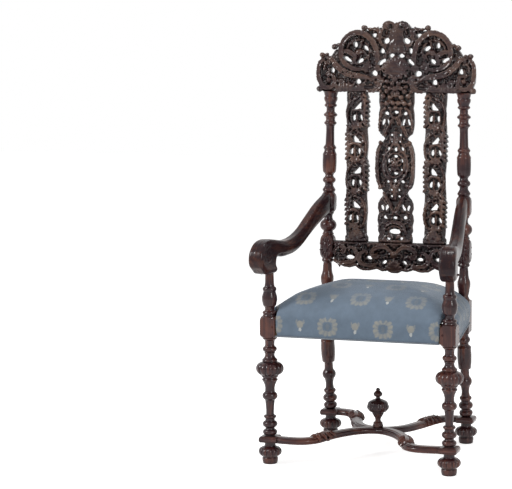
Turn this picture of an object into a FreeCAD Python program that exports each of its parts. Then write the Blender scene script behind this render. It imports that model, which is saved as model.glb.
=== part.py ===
"""Carved open armchair of about 1700, rebuilt piece by piece as a chair maker would cut it.

Turned front and rear posts stand on lobed bun feet. Each leg has a round tenon that passes
through the square end of a moulded X stretcher into its foot. Rails are tenoned and pegged
into square blocks left on the posts, the back holds three pierced splats between a pierced
crest and a scalloped lower rail, and the seat is stuffed over webbing on its four rails.

Frame: +X to the right seen from the front, front towards -Y, +Z up, origin on the floor at
the middle of the chair's box. Millimetres.
"""
import FreeCAD, Part
import math
import os

import Sketcher

V = FreeCAD.Vector
UP = V(0, 0, 1)
ACROSS = V(1, 0, 0)
FORWARD = V(0, -1, 0)
SIDES = {"left": -1, "right": 1}

doc = FreeCAD.newDocument("armchair")
sheet = doc.addObject("Spreadsheet::Sheet", "Sizes")

# Driving sizes in millimetres, each measured from the photograph or usual for such a chair
SIZES = {
    # Where the posts stand
    "front_spread": 553.4,
    "rear_spread": 444.0,
    "seat_depth": 399.0,
    "rear_kick": 38.0,
    "back_rake": 21.0,
    "post_lean": 8.0,
    # Feet and stretcher
    "foot_height": 66.0,
    "foot_radius": 35.5,
    "pad_width": 56.0,
    "stretcher_thickness": 18.0,
    "stretcher_width": 38.0,
    "stretcher_moulding": 5.0,
    "stretcher_eye_radius": 15.0,
    "stretcher_eye_rise": 4.0,
    "foot_tenon_radius": 10.0,
    "foot_tenon_length": 54.0,
    # Front posts
    "front_square": 47.0,
    "front_block_bottom": 381.0,
    "front_block_height": 67.0,
    "arm_tenon_radius": 11.0,
    "arm_tenon_length": 30.0,
    # Rear posts
    "rear_square": 41.5,
    "rear_block_bottom": 358.0,
    "rear_block_height": 100.0,
    "rail_block_bottom": 568.0,
    "rail_block_height": 82.0,
    "arm_block_bottom": 714.0,
    "arm_block_height": 69.0,
    "crest_bottom": 1095.0,
    "crest_tenon_radius": 10.0,
    "crest_tenon_length": 34.0,
    # Finial
    "finial_height": 121.0,
    "finial_radius": 33.3,
    "finial_tenon_radius": 8.0,
    # Seat frame
    "seat_rail_bottom": 389.0,
    "seat_rail_height": 56.0,
    "seat_rail_thickness": 34.0,
    "rail_tenon_thickness": 10.0,
    "rail_tenon_depth": 15.0,
    "rail_tenon_shoulder": 8.0,
    "corner_block_leg": 46.0,
    "corner_block_height": 40.0,
    # Seat upholstery
    "web_width": 50.0,
    "web_thickness": 1.5,
    "base_cloth_thickness": 1.0,
    "cover_bottom": 387.0,
    "cover_thickness": 1.8,
    "cover_crown": 536.0,
    "cover_swell": 9.0,
    "cover_over_rail": 2.0,
    "welt_width": 5.0,
    "welt_proud": 2.0,
    # Arms
    "arm_underside": 578.0,
    "arm_top_inset": 1.0,
    "arm_reach": 106.0,
    "arm_width": 57.0,
    "arm_tail_width": 40.0,
    "arm_edge_chamfer": 4.0,
    "arm_rear_tenon": 14.0,
    "arm_rear_tenon_height": 40.0,
    # Carved back
    "crest_width": 514.0,
    "crest_height": 228.0,
    "crest_thickness": 27.0,
    "crest_relief": 7.0,
    "side_splat_width": 80.0,
    "side_splat_centre": 126.0,
    "centre_splat_width": 120.0,
    "splat_thickness": 15.0,
    "splat_relief": 4.5,
    "splat_tongue": 10.0,
    "splat_tongue_thickness": 8.0,
    "back_rail_top": 629.0,
    "back_rail_height": 98.0,
    "back_rail_thickness": 22.0,
    "back_rail_relief": 4.0,
    "back_rail_tenon_height": 44.0,
    # Fits
    "joint_clearance": 0.2,
    "soft_clearance": 0.4,
    "peg_radius": 3.2,
    "peg_length": 34.0,
    "overrun": 5.0,
}


class Length:
    """A length of the chair: its present value and the sheet formula that gives it."""

    def __init__(self, value, formula):
        self.value = value
        self.formula = formula

    def mixed(self, other, sign, result):
        """The length that a sum or product of two lengths, or of a length and a share, gives."""
        formula = other.formula if isinstance(other, Length) else repr(other)
        return Length(result, "(%s %s %s)" % (self.formula, sign, formula))

    def __add__(self, other):
        return self.mixed(other, "+", self.value + float(other))

    def __sub__(self, other):
        return self.mixed(other, "-", self.value - float(other))

    def __mul__(self, other):
        return self.mixed(other, "*", self.value * float(other))

    def __truediv__(self, other):
        return self.mixed(other, "/", self.value / float(other))

    def __neg__(self):
        return self * -1

    def __float__(self):
        return float(self.value)


class Sheet:
    """Gives each size of the spreadsheet as a Length with the same name."""

    def __getattr__(self, name):
        return Length(SIZES[name], "Sizes." + name)


def fill_sheet():
    """Writes the sizes into the spreadsheet, one row each, with the name as the alias."""
    for row, (name, value) in enumerate(SIZES.items(), start=1):
        sheet.set("A%d" % row, name)
        sheet.set("B%d" % row, str(value))
        sheet.setAlias("B%d" % row, name)
    doc.recompute()


fill_sheet()
size = Sheet()

# Places that follow from the driving sizes
PAD_TOP = size.foot_height + size.stretcher_thickness
DEPTH = size.arm_reach + size.seat_depth + size.rear_kick + size.foot_radius
FRONT_Y = size.arm_reach - DEPTH / 2
REAR_Y = FRONT_Y + size.seat_depth
REAR_FOOT_Y = REAR_Y + size.rear_kick
FRONT_BLOCK_TOP = size.front_block_bottom + size.front_block_height
REAR_BLOCK_TOP = size.rear_block_bottom + size.rear_block_height
RAIL_TOP = size.seat_rail_bottom + size.seat_rail_height
SEAT_LEAN = (size.front_spread - size.rear_spread) / 2 / size.seat_depth
# The arm meets the rear block a little below the block's top
ARM_RISE = size.arm_block_bottom + size.arm_block_height - size.arm_top_inset - size.arm_underside


def bind(item, **formulas):
    """Ties properties of an object to lengths of the sheet."""
    for name, length in formulas.items():
        setattr(item, name, float(length))
        item.setExpression(name, length.formula)


def arc_middle(start, end, bulge):
    """The point halfway along an arc whose height is the bulge share of half its chord."""
    along = end - start
    return (start + end) * 0.5 + V(along.y, -along.x, 0) * (bulge * 0.5)


def draw_outline(sketch, corners):
    """Draws a closed outline through corners (x, y, bulge) and ties every corner to the sheet.

    A corner's bulge belongs to the edge that arrives at it: 0 is straight, a positive share
    swells to the right of the way along, a negative one hollows.
    """
    count = len(corners)
    points = [V(float(x), float(y), 0) for x, y, _ in corners]
    ends = []
    for index in range(count):
        start, end = points[index], points[(index + 1) % count]
        bulge = corners[(index + 1) % count][2]
        if bulge == 0:
            sketch.addGeometry(Part.LineSegment(start, end), False)
            ends.append((1, 2))
            continue
        arc = Part.Arc(start, arc_middle(start, end, bulge), end)
        sketch.addGeometry(arc, False)
        begins = sketch.getPoint(index, 1)
        ends.append((1, 2) if begins.distanceToPoint(start) < begins.distanceToPoint(end) else (2, 1))
    rules = []
    formulas = []
    for index in range(count):
        following = (index + 1) % count
        rules.append(Sketcher.Constraint("Coincident", index, ends[index][1], following, ends[following][0]))
    for index, (x, y, _) in enumerate(corners):
        for kind, value, axis in (("DistanceX", x, -2), ("DistanceY", y, -1)):
            if float(value) == 0:
                rules.append(Sketcher.Constraint("PointOnObject", index, ends[index][0], axis))
                continue
            formulas.append((len(rules), value.formula))
            rules.append(Sketcher.Constraint(kind, -1, 1, index, ends[index][0], float(value)))
    for index in range(count):
        here, there = corners[index], corners[(index + 1) % count]
        bulge = abs(there[2])
        if bulge:
            share = (1 + bulge * bulge) / (4 * bulge)
            chord = math.dist((float(here[0]), float(here[1])), (float(there[0]), float(there[1])))
            across = "(%s - %s)" % (text(there[0]), text(here[0]))
            upward = "(%s - %s)" % (text(there[1]), text(here[1]))
            formulas.append((len(rules), "sqrt(%s^2 + %s^2) * %r" % (across, upward, share)))
            rules.append(Sketcher.Constraint("Radius", index, chord * share))
    sketch.addConstraint(rules)
    for number, formula in formulas:
        sketch.setExpression("Constraints[%d]" % number, formula)


def text(length):
    """The formula of a length, or a plain nought."""
    return length.formula if isinstance(length, Length) else repr(float(length))


def new_body(name):
    return doc.addObject("PartDesign::Body", name)


def new_sketch(body, name, role, lift=None):
    """A sketch on one of the body's own origin planes, lifted off it by a length."""
    sketch = body.newObject("Sketcher::SketchObject", name)
    plane = [item for item in body.Origin.OriginFeatures if item.Role == role][0]
    sketch.AttachmentSupport = [(plane, "")]
    sketch.MapMode = "FlatFace"
    if lift is not None:
        sketch.AttachmentOffset = FreeCAD.Placement(V(0, 0, float(lift)), FreeCAD.Rotation())
        sketch.setExpression(".AttachmentOffset.Base.z", lift.formula)
    return sketch


def turn(body, name, corners):
    """Revolves an outline of (radius, height, bulge) about the body's upright axis."""
    sketch = new_sketch(body, name + "_profile", "XZ_Plane")
    draw_outline(sketch, corners)
    turned = body.newObject("PartDesign::Revolution", name)
    turned.Profile = sketch
    turned.ReferenceAxis = (sketch, ["V_Axis"])
    turned.Angle = 360
    sketch.Visibility = False
    return turned


def prism(body, name, corners, bottom, height):
    """Pads an outline of (x, y, bulge) upwards from a height."""
    sketch = new_sketch(body, name + "_outline", "XY_Plane", bottom)
    draw_outline(sketch, corners)
    pad = body.newObject("PartDesign::Pad", name)
    pad.Profile = sketch
    bind(pad, Length=height)
    sketch.Visibility = False
    return pad


def square(side):
    """Corners of a square about the axis."""
    half = side / 2
    return [(-half, -half, 0), (half, -half, 0), (half, half, 0), (-half, half, 0)]


def stations(shares, bottom, height, width):
    """Turns rows of (height share, radius share, bulge) into profile corners."""
    return [(width * radius, bottom + height * level, bulge) for level, radius, bulge in shares]


def box(name, width, depth, height, x, y, z):
    """A box centred on x and y that stands on z."""
    item = doc.addObject("Part::Box", name)
    bind(item, Length=width, Width=depth, Height=height)
    item.Placement.Base = V(float(x) - float(width) / 2, float(y) - float(depth) / 2, float(z))
    return item


def rod(name, radius, length, start, direction):
    """A round rod from a point along a direction."""
    item = doc.addObject("Part::Cylinder", name)
    bind(item, Radius=radius, Height=length)
    item.Placement = FreeCAD.Placement(start, FreeCAD.Rotation(UP, direction))
    return item


def joined(name, pieces):
    """One solid from several that overlap."""
    item = doc.addObject("Part::MultiFuse", name)
    item.Shapes = pieces
    return item


def less(name, base, tools):
    """A piece with its mortises, sockets and peg holes cut."""
    tool = tools[0] if len(tools) == 1 else joined(name + "_cuts", tools)
    item = doc.addObject("Part::Cut", name)
    item.Base = base
    item.Tool = tool
    return item


def feature(name, shape, place=None):
    """A node whose shape is worked out here from the sheet's values."""
    item = doc.addObject("Part::Feature", name)
    item.Shape = shape
    if place is not None:
        item.Placement = place
    return item


# Places on the chair

def front_post_at(side):
    return V(side * float(size.front_spread / 2), float(FRONT_Y), 0)


def back_place():
    """The leaning plane of the back: heights are measured along it from the floor."""
    lean = math.degrees(math.atan2(float(size.back_rake), float(size.crest_bottom - REAR_BLOCK_TOP)))
    hinge = V(0, float(REAR_Y), float(REAR_BLOCK_TOP))
    turned = FreeCAD.Placement(hinge, FreeCAD.Rotation(ACROSS, -lean))
    return turned * FreeCAD.Placement(V(0, 0, -float(REAR_BLOCK_TOP)), FreeCAD.Rotation())


def rear_post_place(side):
    """The leaning axis of one rear post above the seat, with heights as in back_place."""
    rise = float(size.crest_bottom - REAR_BLOCK_TOP)
    direction = V(-side * float(size.post_lean), float(size.back_rake), rise)
    hinge = V(side * float(size.rear_spread / 2), float(REAR_Y), float(REAR_BLOCK_TOP))
    turned = FreeCAD.Placement(hinge, FreeCAD.Rotation(UP, direction))
    return turned * FreeCAD.Placement(V(0, 0, -float(REAR_BLOCK_TOP)), FreeCAD.Rotation())


def rear_leg_place(side):
    """The axis of one rear leg below the seat, which kicks back to its foot."""
    fall = float(size.rear_block_bottom - PAD_TOP)
    direction = V(0, -float(size.rear_kick), fall)
    base = V(side * float(size.rear_spread / 2), float(REAR_FOOT_Y), float(PAD_TOP))
    turned = FreeCAD.Placement(base, FreeCAD.Rotation(UP, direction))
    return turned * FreeCAD.Placement(V(0, 0, -float(PAD_TOP)), FreeCAD.Rotation())


def post_x_at(level):
    """How far a rear post's axis stands from the middle at a height of the back."""
    rise = float(size.crest_bottom - REAR_BLOCK_TOP)
    return float(size.rear_spread / 2) - float(size.post_lean) * (level - float(REAR_BLOCK_TOP)) / rise


# Turned profiles: share of the turned stretch, radius as a share of the post's square, bulge

FRONT_LEG_SHARES = [
    (0.0, 0.32, 0), (0.013, 0.32, 0), (0.067, 0.32, 0.85), (0.101, 0.31, 0),
    (0.155, 0.31, 0.8), (0.182, 0.32, 0), (0.185, 0.36, 0), (0.212, 0.36, 0),
    (0.215, 0.255, 0), (0.364, 0.315, 0), (0.372, 0.345, 0), (0.448, 0.33, 0.62),
    (0.461, 0.315, 0), (0.556, 0.44, -0.18), (0.562, 0.45, 0), (0.586, 0.45, 0.7),
    (0.596, 0.436, 0), (0.623, 0.553, 0), (0.751, 0.57, 0.8), (0.758, 0.45, 0),
    (0.785, 0.45, 0), (0.832, 0.302, -0.15), (0.859, 0.32, 0), (0.912, 0.32, 0.8),
    (0.933, 0.298, 0), (0.96, 0.308, 0), (0.987, 0.426, -0.3), (1.0, 0.468, 0),
]

ARM_SUPPORT_SHARES = [
    (0.0, 0.45, 0), (0.03, 0.404, 0), (0.10, 0.404, 0.35), (0.115, 0.308, 0),
    (0.14, 0.296, 0), (0.23, 0.41, -0.25), (0.27, 0.436, 0), (0.51, 0.415, 0.2),
    (0.54, 0.394, 0), (0.56, 0.40, 0), (0.64, 0.40, 0.25), (0.66, 0.319, 0),
    (0.83, 0.281, 0), (1.0, 0.266, 0),
]

REAR_LEG_SHARES = [
    (0.0, 0.34, 0), (0.015, 0.36, 0), (0.077, 0.36, 0.75), (0.109, 0.36, 0),
    (0.172, 0.36, 0.75), (0.20, 0.375, 0), (0.204, 0.40, 0), (0.241, 0.40, 0),
    (0.248, 0.33, 0), (0.266, 0.315, 0), (0.339, 0.315, 0), (0.372, 0.375, 0),
    (0.474, 0.36, 0.45), (0.50, 0.335, 0), (0.569, 0.323, 0), (0.58, 0.48, 0),
    (0.817, 0.52, 0), (0.84, 0.48, 0), (0.854, 0.35, 0), (0.883, 0.345, 0),
    (0.949, 0.36, 0.55), (0.978, 0.35, 0), (1.0, 0.45, 0),
]

BACK_VASE_SHARES = [
    (0.0, 0.46, 0), (0.05, 0.40, 0), (0.12, 0.34, -0.2), (0.52, 0.48, 0.12),
    (0.80, 0.345, -0.12), (0.92, 0.316, -0.03), (0.94, 0.40, 0), (1.0, 0.43, 0.3),
]

BACK_BULB_SHARES = [
    (0.0, 0.45, 0), (0.05, 0.375, 0), (0.14, 0.37, -0.2), (0.68, 0.37, 0.32),
    (0.90, 0.316, -0.2), (1.0, 0.42, -0.2),
]

BACK_BARREL_SHARES = [
    (0.0, 0.45, 0), (0.06, 0.45, 0), (0.12, 0.316, 0), (0.16, 0.32, 0), (0.18, 0.36, 0),
    (0.30, 0.36, 0.62), (0.34, 0.30, 0), (0.38, 0.37, 0), (0.43, 0.50, 0),
    (0.75, 0.52, 0), (0.82, 0.47, 0.15), (0.86, 0.41, 0), (0.89, 0.42, 0),
    (0.96, 0.42, 0.5), (1.0, 0.335, 0),
]

BACK_SHAFT_SHARES = [
    (0.0, 0.335, 0), (0.25, 0.307, 0), (0.34, 0.315, 0), (0.37, 0.38, 0), (0.43, 0.38, 0.75),
    (0.47, 0.335, 0), (0.515, 0.37, 0), (0.525, 0.42, 0), (0.585, 0.42, 0.8),
    (0.62, 0.31, 0), (0.685, 0.31, 0), (0.705, 0.38, 0), (0.765, 0.38, 0.75), (0.80, 0.42, 0),
    (0.885, 0.51, 0.2), (0.905, 0.45, 0), (0.94, 0.50, 0), (1.0, 0.61, -0.2),
]
SHAFT_SHARE = 0.475

# Share of the foot's height, radius as a share of its widest radius, bulge
FOOT_SHARES = [
    (0.0, 0.54, 0), (0.06, 0.64, 0), (0.30, 0.66, 0), (0.34, 0.70, 0), (0.38, 0.72, 0),
    (0.76, 0.60, 0.94), (0.80, 0.48, 0), (0.95, 0.47, 0), (1.0, 0.52, 0),
]

# Share of the finial's height, radius as a share of its widest radius, bulge
FINIAL_SHARES = [
    (0.0, 0.43, 0), (0.12, 0.43, 0), (0.14, 0.32, 0), (0.20, 0.25, 0), (0.29, 0.41, 0),
    (0.39, 0.57, 0), (0.40, 0.72, 0), (0.44, 0.86, 0), (0.57, 0.96, 0.45),
    (0.67, 0.72, 0), (0.71, 0.42, 0), (0.75, 0.18, 0), (0.78, 0.20, 0),
    (0.87, 0.40, 0.5), (0.94, 0.16, 0), (1.0, 0.05, 0),
]


BLOCK_CORE_SHARE = 0.45


def into_block(core, level):
    """Closing corners of a turning that ends inside a square block."""
    return [(core, level, 0), (0.0, level, 0)]


def out_of_block(core, level):
    """Opening corners of a turning that starts inside a square block."""
    return [(0.0, level, 0), (core, level, 0)]


def front_post(name, side):
    """Front leg, seat block and arm support, turned from one length of walnut."""
    body = new_body(name + "_turned")
    leg = stations(FRONT_LEG_SHARES, PAD_TOP, size.front_block_bottom - PAD_TOP, size.front_square)
    arm = stations(ARM_SUPPORT_SHARES, FRONT_BLOCK_TOP, size.arm_underside - FRONT_BLOCK_TOP,
                   size.front_square)
    tenon_foot = PAD_TOP - size.foot_tenon_length
    tenon_top = size.arm_underside + size.arm_tenon_length
    core = size.front_square * BLOCK_CORE_SHARE
    turn(body, name + "_leg_turning", [
        (0.0, tenon_foot, 0), (size.foot_tenon_radius, tenon_foot, 0),
        (size.foot_tenon_radius, PAD_TOP, 0)] + leg + into_block(core, size.front_block_bottom + core))
    prism(body, name + "_block", square(size.front_square), size.front_block_bottom,
          size.front_block_height)
    turn(body, name + "_arm_turning", out_of_block(core, FRONT_BLOCK_TOP - core) + arm + [
        (size.arm_tenon_radius, size.arm_underside, 0),
        (size.arm_tenon_radius, tenon_top, 0), (0.0, tenon_top, 0)])
    body.Placement.Base = front_post_at(side)
    cuts = [mortise(rail, side, "front") for rail in ("front", "side")]
    cuts += [peg(name + "_peg_hole_" + rail, rail, side, "front", size.joint_clearance)
             for rail in ("front", "side")]
    cuts.append(pin(name + "_arm_pin", "arm_front", side, size.joint_clearance))
    return less(name, body, cuts)


def shaft_bottom():
    """Where the long taper of the back post starts, above its barrel."""
    arm_block_top = size.arm_block_bottom + size.arm_block_height
    return arm_block_top + (size.crest_bottom - arm_block_top) * SHAFT_SHARE


def rear_post(name, side):
    """Rear leg, seat block and back post: two turned lengths that meet in the seat block."""
    leg = new_body(name + "_leg")
    profile = stations(REAR_LEG_SHARES, PAD_TOP, size.rear_block_bottom - PAD_TOP, size.rear_square)
    core = size.rear_square * BLOCK_CORE_SHARE
    below = PAD_TOP - size.overrun
    turn(leg, name + "_leg_turning", [(0.0, below, 0), (profile[0][0], below, 0)] + profile
         + into_block(core, size.rear_block_bottom + core))
    leg.Placement = rear_leg_place(side)

    upper = new_body(name + "_upper")
    tenon_top = size.crest_bottom + size.crest_tenon_length
    rail_block_top = size.rail_block_bottom + size.rail_block_height
    arm_block_top = size.arm_block_bottom + size.arm_block_height
    stretches = (
        ("_vase", BACK_VASE_SHARES, REAR_BLOCK_TOP, size.rail_block_bottom),
        ("_bulb", BACK_BULB_SHARES, rail_block_top, size.arm_block_bottom),
        ("_barrel", BACK_BARREL_SHARES, arm_block_top, shaft_bottom()),
    )
    for ending, shares, bottom, top in stretches:
        profile = stations(shares, bottom, top - bottom, size.rear_square)
        closing = into_block(core, top + core)
        if ending == "_barrel":
            closing = into_block(size.crest_tenon_radius, top + core)
        turn(upper, name + ending, out_of_block(core, bottom - core) + profile + closing)
    prism(upper, name + "_rail_block", square(size.rear_square), size.rail_block_bottom,
          size.rail_block_height)
    prism(upper, name + "_arm_block", square(size.rear_square), size.arm_block_bottom,
          size.arm_block_height)
    shaft = stations(BACK_SHAFT_SHARES, shaft_bottom(), size.crest_bottom - shaft_bottom(), size.rear_square)
    turn(upper, name + "_shaft", [(0.0, shaft_bottom(), 0)] + shaft + [
        (size.crest_tenon_radius, size.crest_bottom, 0),
        (size.crest_tenon_radius, tenon_top, 0), (0.0, tenon_top, 0)])
    upper.Placement = rear_post_place(side)

    foot_end = V(side * float(size.rear_spread / 2), float(REAR_FOOT_Y),
                 float(PAD_TOP - size.foot_tenon_length))
    block = box(name + "_seat_block", size.rear_square, size.rear_square, size.rear_block_height,
                foot_end.x, REAR_Y, size.rear_block_bottom)
    tenon = rod(name + "_foot_tenon", size.foot_tenon_radius, size.foot_tenon_length + core,
                foot_end, UP)
    pad = box(name + "_pad_face", size.pad_width, size.pad_width, size.overrun * 2,
              foot_end.x, REAR_FOOT_Y, PAD_TOP - size.overrun * 2)
    whole = joined(name + "_whole", [less(name + "_standing_leg", leg, [pad]), upper, block, tenon])
    cuts = [mortise(rail, side, "rear") for rail in ("rear", "side")]
    cuts += [peg(name + "_peg_hole_" + rail, rail, side, "rear", size.joint_clearance)
             for rail in ("rear", "side")]
    cuts += [back_rail_tenon(name + "_rail_mortise", side, size.joint_clearance)]
    cuts += [arm_rear_tenon(name + "_arm_mortise", side, size.joint_clearance)]
    cuts += [pin(name + "_pin_" + joint, joint, side, size.joint_clearance)
             for joint in ("crest", "rail", "arm_rear")]
    return less(name, whole, cuts)


def foot(name, side, y):
    """Bun foot with the socket that the leg's tenon comes down into."""
    body = new_body(name)
    radius = size.foot_tenon_radius + size.joint_clearance
    floor = PAD_TOP - size.foot_tenon_length - size.joint_clearance
    corners = [(0.0, 0.0, 0)]
    corners += [(size.foot_radius * share, size.foot_height * level if level else 0.0, bulge)
                for level, share, bulge in FOOT_SHARES]
    corners += [(radius, size.foot_height, 0), (radius, floor, 0), (0.0, floor, 0)]
    turn(body, name + "_turning", corners)
    spread = size.front_spread if y is FRONT_Y else size.rear_spread
    body.Placement.Base = V(side * float(spread / 2), float(y), 0)
    return body


def finial(name):
    """Urn finial whose tenon pins the crossing of the stretcher."""
    body = new_body(name)
    drop = size.stretcher_thickness - size.joint_clearance
    corners = [(0.0, -drop, 0), (size.finial_tenon_radius, -drop, 0),
               (size.finial_tenon_radius, 0.0, 0)]
    corners += [(size.finial_radius * share, size.finial_height * level if level else 0.0, bulge)
                for level, share, bulge in FINIAL_SHARES]
    corners += [(0.0, size.finial_height, 0)]
    turn(body, name + "_turning", corners)
    body.Placement.Base = stretcher_middle() + V(0, 0, float(PAD_TOP))
    return body


# Seat frame joints

RAIL_ENDS = {
    ("front", "front"): "across", ("side", "front"): "along",
    ("rear", "rear"): "across", ("side", "rear"): "along",
}


def tenon_box(name, rail, side, post, slack):
    """The tenon of one rail end, or with slack its mortise."""
    front = post == "front"
    block = size.front_square if front else size.rear_square
    x = side * float(size.front_spread / 2 if front else size.rear_spread / 2)
    y = float(FRONT_Y if front else REAR_Y)
    depth = size.rail_tenon_depth + slack
    root = depth + size.overrun
    reach = float(block / 2) - float(depth) + float(root) / 2
    height = size.seat_rail_height - size.rail_tenon_shoulder * 2 + slack * 2
    z = size.seat_rail_bottom + size.rail_tenon_shoulder - slack
    thick = size.rail_tenon_thickness + slack * 2
    if RAIL_ENDS[(rail, post)] == "across":
        return box(name, root, thick, height, x - side * reach, y, z)
    inward = 1 if front else -1
    return box(name, thick, root, height, x, y + inward * reach, z)


def mortise(rail, side, post):
    hand = "left" if side < 0 else "right"
    name = "mortise_%s_%s_%s" % (rail, post, hand)
    return tenon_box(name, rail, side, post, size.joint_clearance)


def peg(name, rail, side, post, slack):
    """A peg driven through the block and the tenon's cheeks, or with slack its hole."""
    front = post == "front"
    block = size.front_square if front else size.rear_square
    x = side * float(size.front_spread / 2 if front else size.rear_spread / 2)
    y = float(FRONT_Y if front else REAR_Y)
    z = float(size.seat_rail_bottom + size.seat_rail_height / 2)
    inset = float(block / 2 - size.rail_tenon_depth / 2)
    outward = 1 if not front else -1
    if RAIL_ENDS[(rail, post)] == "across":
        start = V(x - side * inset, y + outward * float(block / 2), z)
        way = V(0, -outward, 0)
    else:
        start = V(x + side * float(block / 2), y - outward * inset, z)
        way = V(-side, 0, 0)
    return rod(name, size.peg_radius + slack, size.peg_length + slack, start, way)


def seat_rail_across(name, post):
    """Front or rear seat rail between its two blocks."""
    front = post == "front"
    block = size.front_square if front else size.rear_square
    spread = size.front_spread if front else size.rear_spread
    y = FRONT_Y if front else REAR_Y
    rail = box(name + "_board", spread - block, size.seat_rail_thickness, size.seat_rail_height,
               0, y, size.seat_rail_bottom)
    tenons = [tenon_box(name + "_tenon_" + hand, post, side, post, size.joint_clearance * 0)
              for hand, side in SIDES.items()]
    whole = joined(name + "_whole", [rail] + tenons)
    holes = [peg(name + "_hole_" + hand, post, side, post, size.joint_clearance)
             for hand, side in SIDES.items()]
    return less(name, whole, holes)


def seat_rail_side(name, side):
    """Side seat rail, which splays from the rear block out to the front one."""
    body = new_body(name + "_board")
    half = size.seat_rail_thickness / 2
    start_y = FRONT_Y + size.front_square / 2
    end_y = REAR_Y - size.rear_square / 2
    front_x = (size.front_spread / 2 - size.front_square / 2 * SEAT_LEAN) * side
    rear_x = (size.rear_spread / 2 + size.rear_square / 2 * SEAT_LEAN) * side
    corners = [(front_x - half, start_y, 0), (front_x + half, start_y, 0),
               (rear_x + half, end_y, 0), (rear_x - half, end_y, 0)]
    prism(body, name + "_pad", corners, size.seat_rail_bottom, size.seat_rail_height)
    tenons = [tenon_box(name + "_tenon_" + post, "side", side, post, size.joint_clearance * 0)
              for post in ("front", "rear")]
    whole = joined(name + "_whole", [body] + tenons)
    holes = [peg(name + "_hole_" + post, "side", side, post, size.joint_clearance)
             for post in ("front", "rear")]
    return less(name, whole, holes)


def corner_block(name, side, post):
    """Glue block in the corner of the seat frame, under the webbing."""
    body = new_body(name)
    front = post == "front"
    inward = 1 if front else -1
    half = size.seat_rail_thickness / 2
    block = size.front_square if front else size.rear_square
    x = (size.front_spread if front else size.rear_spread) / 2
    y = FRONT_Y if front else REAR_Y
    near_y = y + half * inward
    far_y = y + (block / 2 + size.corner_block_leg) * inward
    post_y = y + block / 2 * inward
    rail_x = x - half - (block / 2 + size.corner_block_leg) * SEAT_LEAN * inward
    post_x = x - block / 2
    inner_x = x - block / 2 - size.corner_block_leg
    corners = [(inner_x * side, near_y, 0), (post_x * side, near_y, 0), (post_x * side, post_y, 0),
               (rail_x * side, far_y, 0)]
    bottom = size.seat_rail_bottom + (size.seat_rail_height - size.corner_block_height) / 2
    prism(body, name + "_pad", corners, bottom, size.corner_block_height)
    return body


# Seat upholstery

# Share of the height from the cover's lower edge to its crown, and how far the side stands out
# from the rail (swell shares, positive) or in over the seat (shares of the seat's depth, negative)
SEAT_SIDE_SHARES = [(0.0, 0.0), (0.14, 0.5), (0.28, 0.85), (0.42, 1.0), (0.54, 0.8)]
SEAT_TOP_SHARES = [(0.62, 0.004), (0.68, -0.02), (0.74, -0.055), (0.81, -0.115), (0.88, -0.19),
                   (0.94, -0.27), (0.98, -0.36), (1.0, -0.44)]
SEAT_CORNER_SHARE = 0.05


def seat_corners(outset):
    """The four corners of the seat's plan, the rails' outer faces moved out by a distance."""
    half = float(size.seat_rail_thickness / 2) + outset
    lean = float(SEAT_LEAN)
    front_y, rear_y = float(FRONT_Y) - half, float(REAR_Y) + half
    front_x = float(size.front_spread / 2) + half + half * lean
    rear_x = float(size.rear_spread / 2) + half - half * lean
    return [V(-front_x, front_y, 0), V(front_x, front_y, 0), V(rear_x, rear_y, 0), V(-rear_x, rear_y, 0)]


def rounded(points, radius, height):
    """A closed wire through corner points at a height, each corner turned on an arc."""
    edges = []
    count = len(points)
    marks = []
    for index in range(count):
        before, here, after = points[index - 1], points[index], points[(index + 1) % count]
        back, ahead = (before - here).normalize(), (after - here).normalize()
        half_turn = (math.pi - back.getAngle(ahead)) / 2
        reach = radius * math.tan(half_turn)
        start, end = here + back * reach, here + ahead * reach
        middle = here + (back + ahead).normalize() * (radius / math.cos(half_turn) - radius)
        marks.append((start, middle, end))
    for index in range(count):
        start, middle, end = marks[index]
        edges.append(Part.Arc(start, middle, end).toShape())
        edges.append(Part.makeLine(end, marks[(index + 1) % count][0]))
    wire = Part.Wire(edges)
    wire.translate(V(0, 0, height))
    return wire


def cover_outset(height):
    """How far the cover stands out from the rails at a height over its lower edge."""
    level = height / float(size.cover_crown - size.cover_bottom)
    rows = [row for row in zip(SEAT_SIDE_SHARES, SEAT_SIDE_SHARES[1:]) if row[0][0] <= level]
    (low, near), (high, far) = rows[-1]
    swell = near + (far - near) * (level - low) / (high - low)
    return float(size.cover_over_rail) + float(size.cover_swell) * swell


def seat_form(skin):
    """The seat's crowned form, with drawn-in sides, shrunk inwards by a skin."""
    rise = float(size.cover_crown - size.cover_bottom)
    depth = float(size.seat_depth + size.seat_rail_thickness)
    proud = float(size.cover_over_rail)
    sections = []
    rows = [(level, proud + float(size.cover_swell) * share) for level, share in SEAT_SIDE_SHARES]
    rows += [(level, proud + depth * share) for level, share in SEAT_TOP_SHARES]
    for level, outset in rows:
        height = float(size.cover_bottom) + rise * level - skin * level
        sections.append(rounded(seat_corners(outset - skin), depth * SEAT_CORNER_SHARE, height))
    return Part.makeLoft(sections, True, True)


def post_notches(slack):
    """Blocks of air round the four posts, wider than them by the slack."""
    tall = float(size.cover_crown)
    far = float(size.front_spread)
    notches = []
    for side in SIDES.values():
        for spread, block, y, inward in (
            (size.front_spread, size.front_square, FRONT_Y, 1),
            (size.rear_spread, size.rear_square, REAR_Y, -1),
        ):
            half = float(block / 2) + slack
            notch = Part.makeBox(far, far, tall * 2)
            x = side * (float(spread / 2) - half)
            left = x if side > 0 else x - far
            front = float(y) + half - far if inward > 0 else float(y) - half
            notch.translate(V(left, front, 0))
            notches.append(notch)
    return notches


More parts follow.
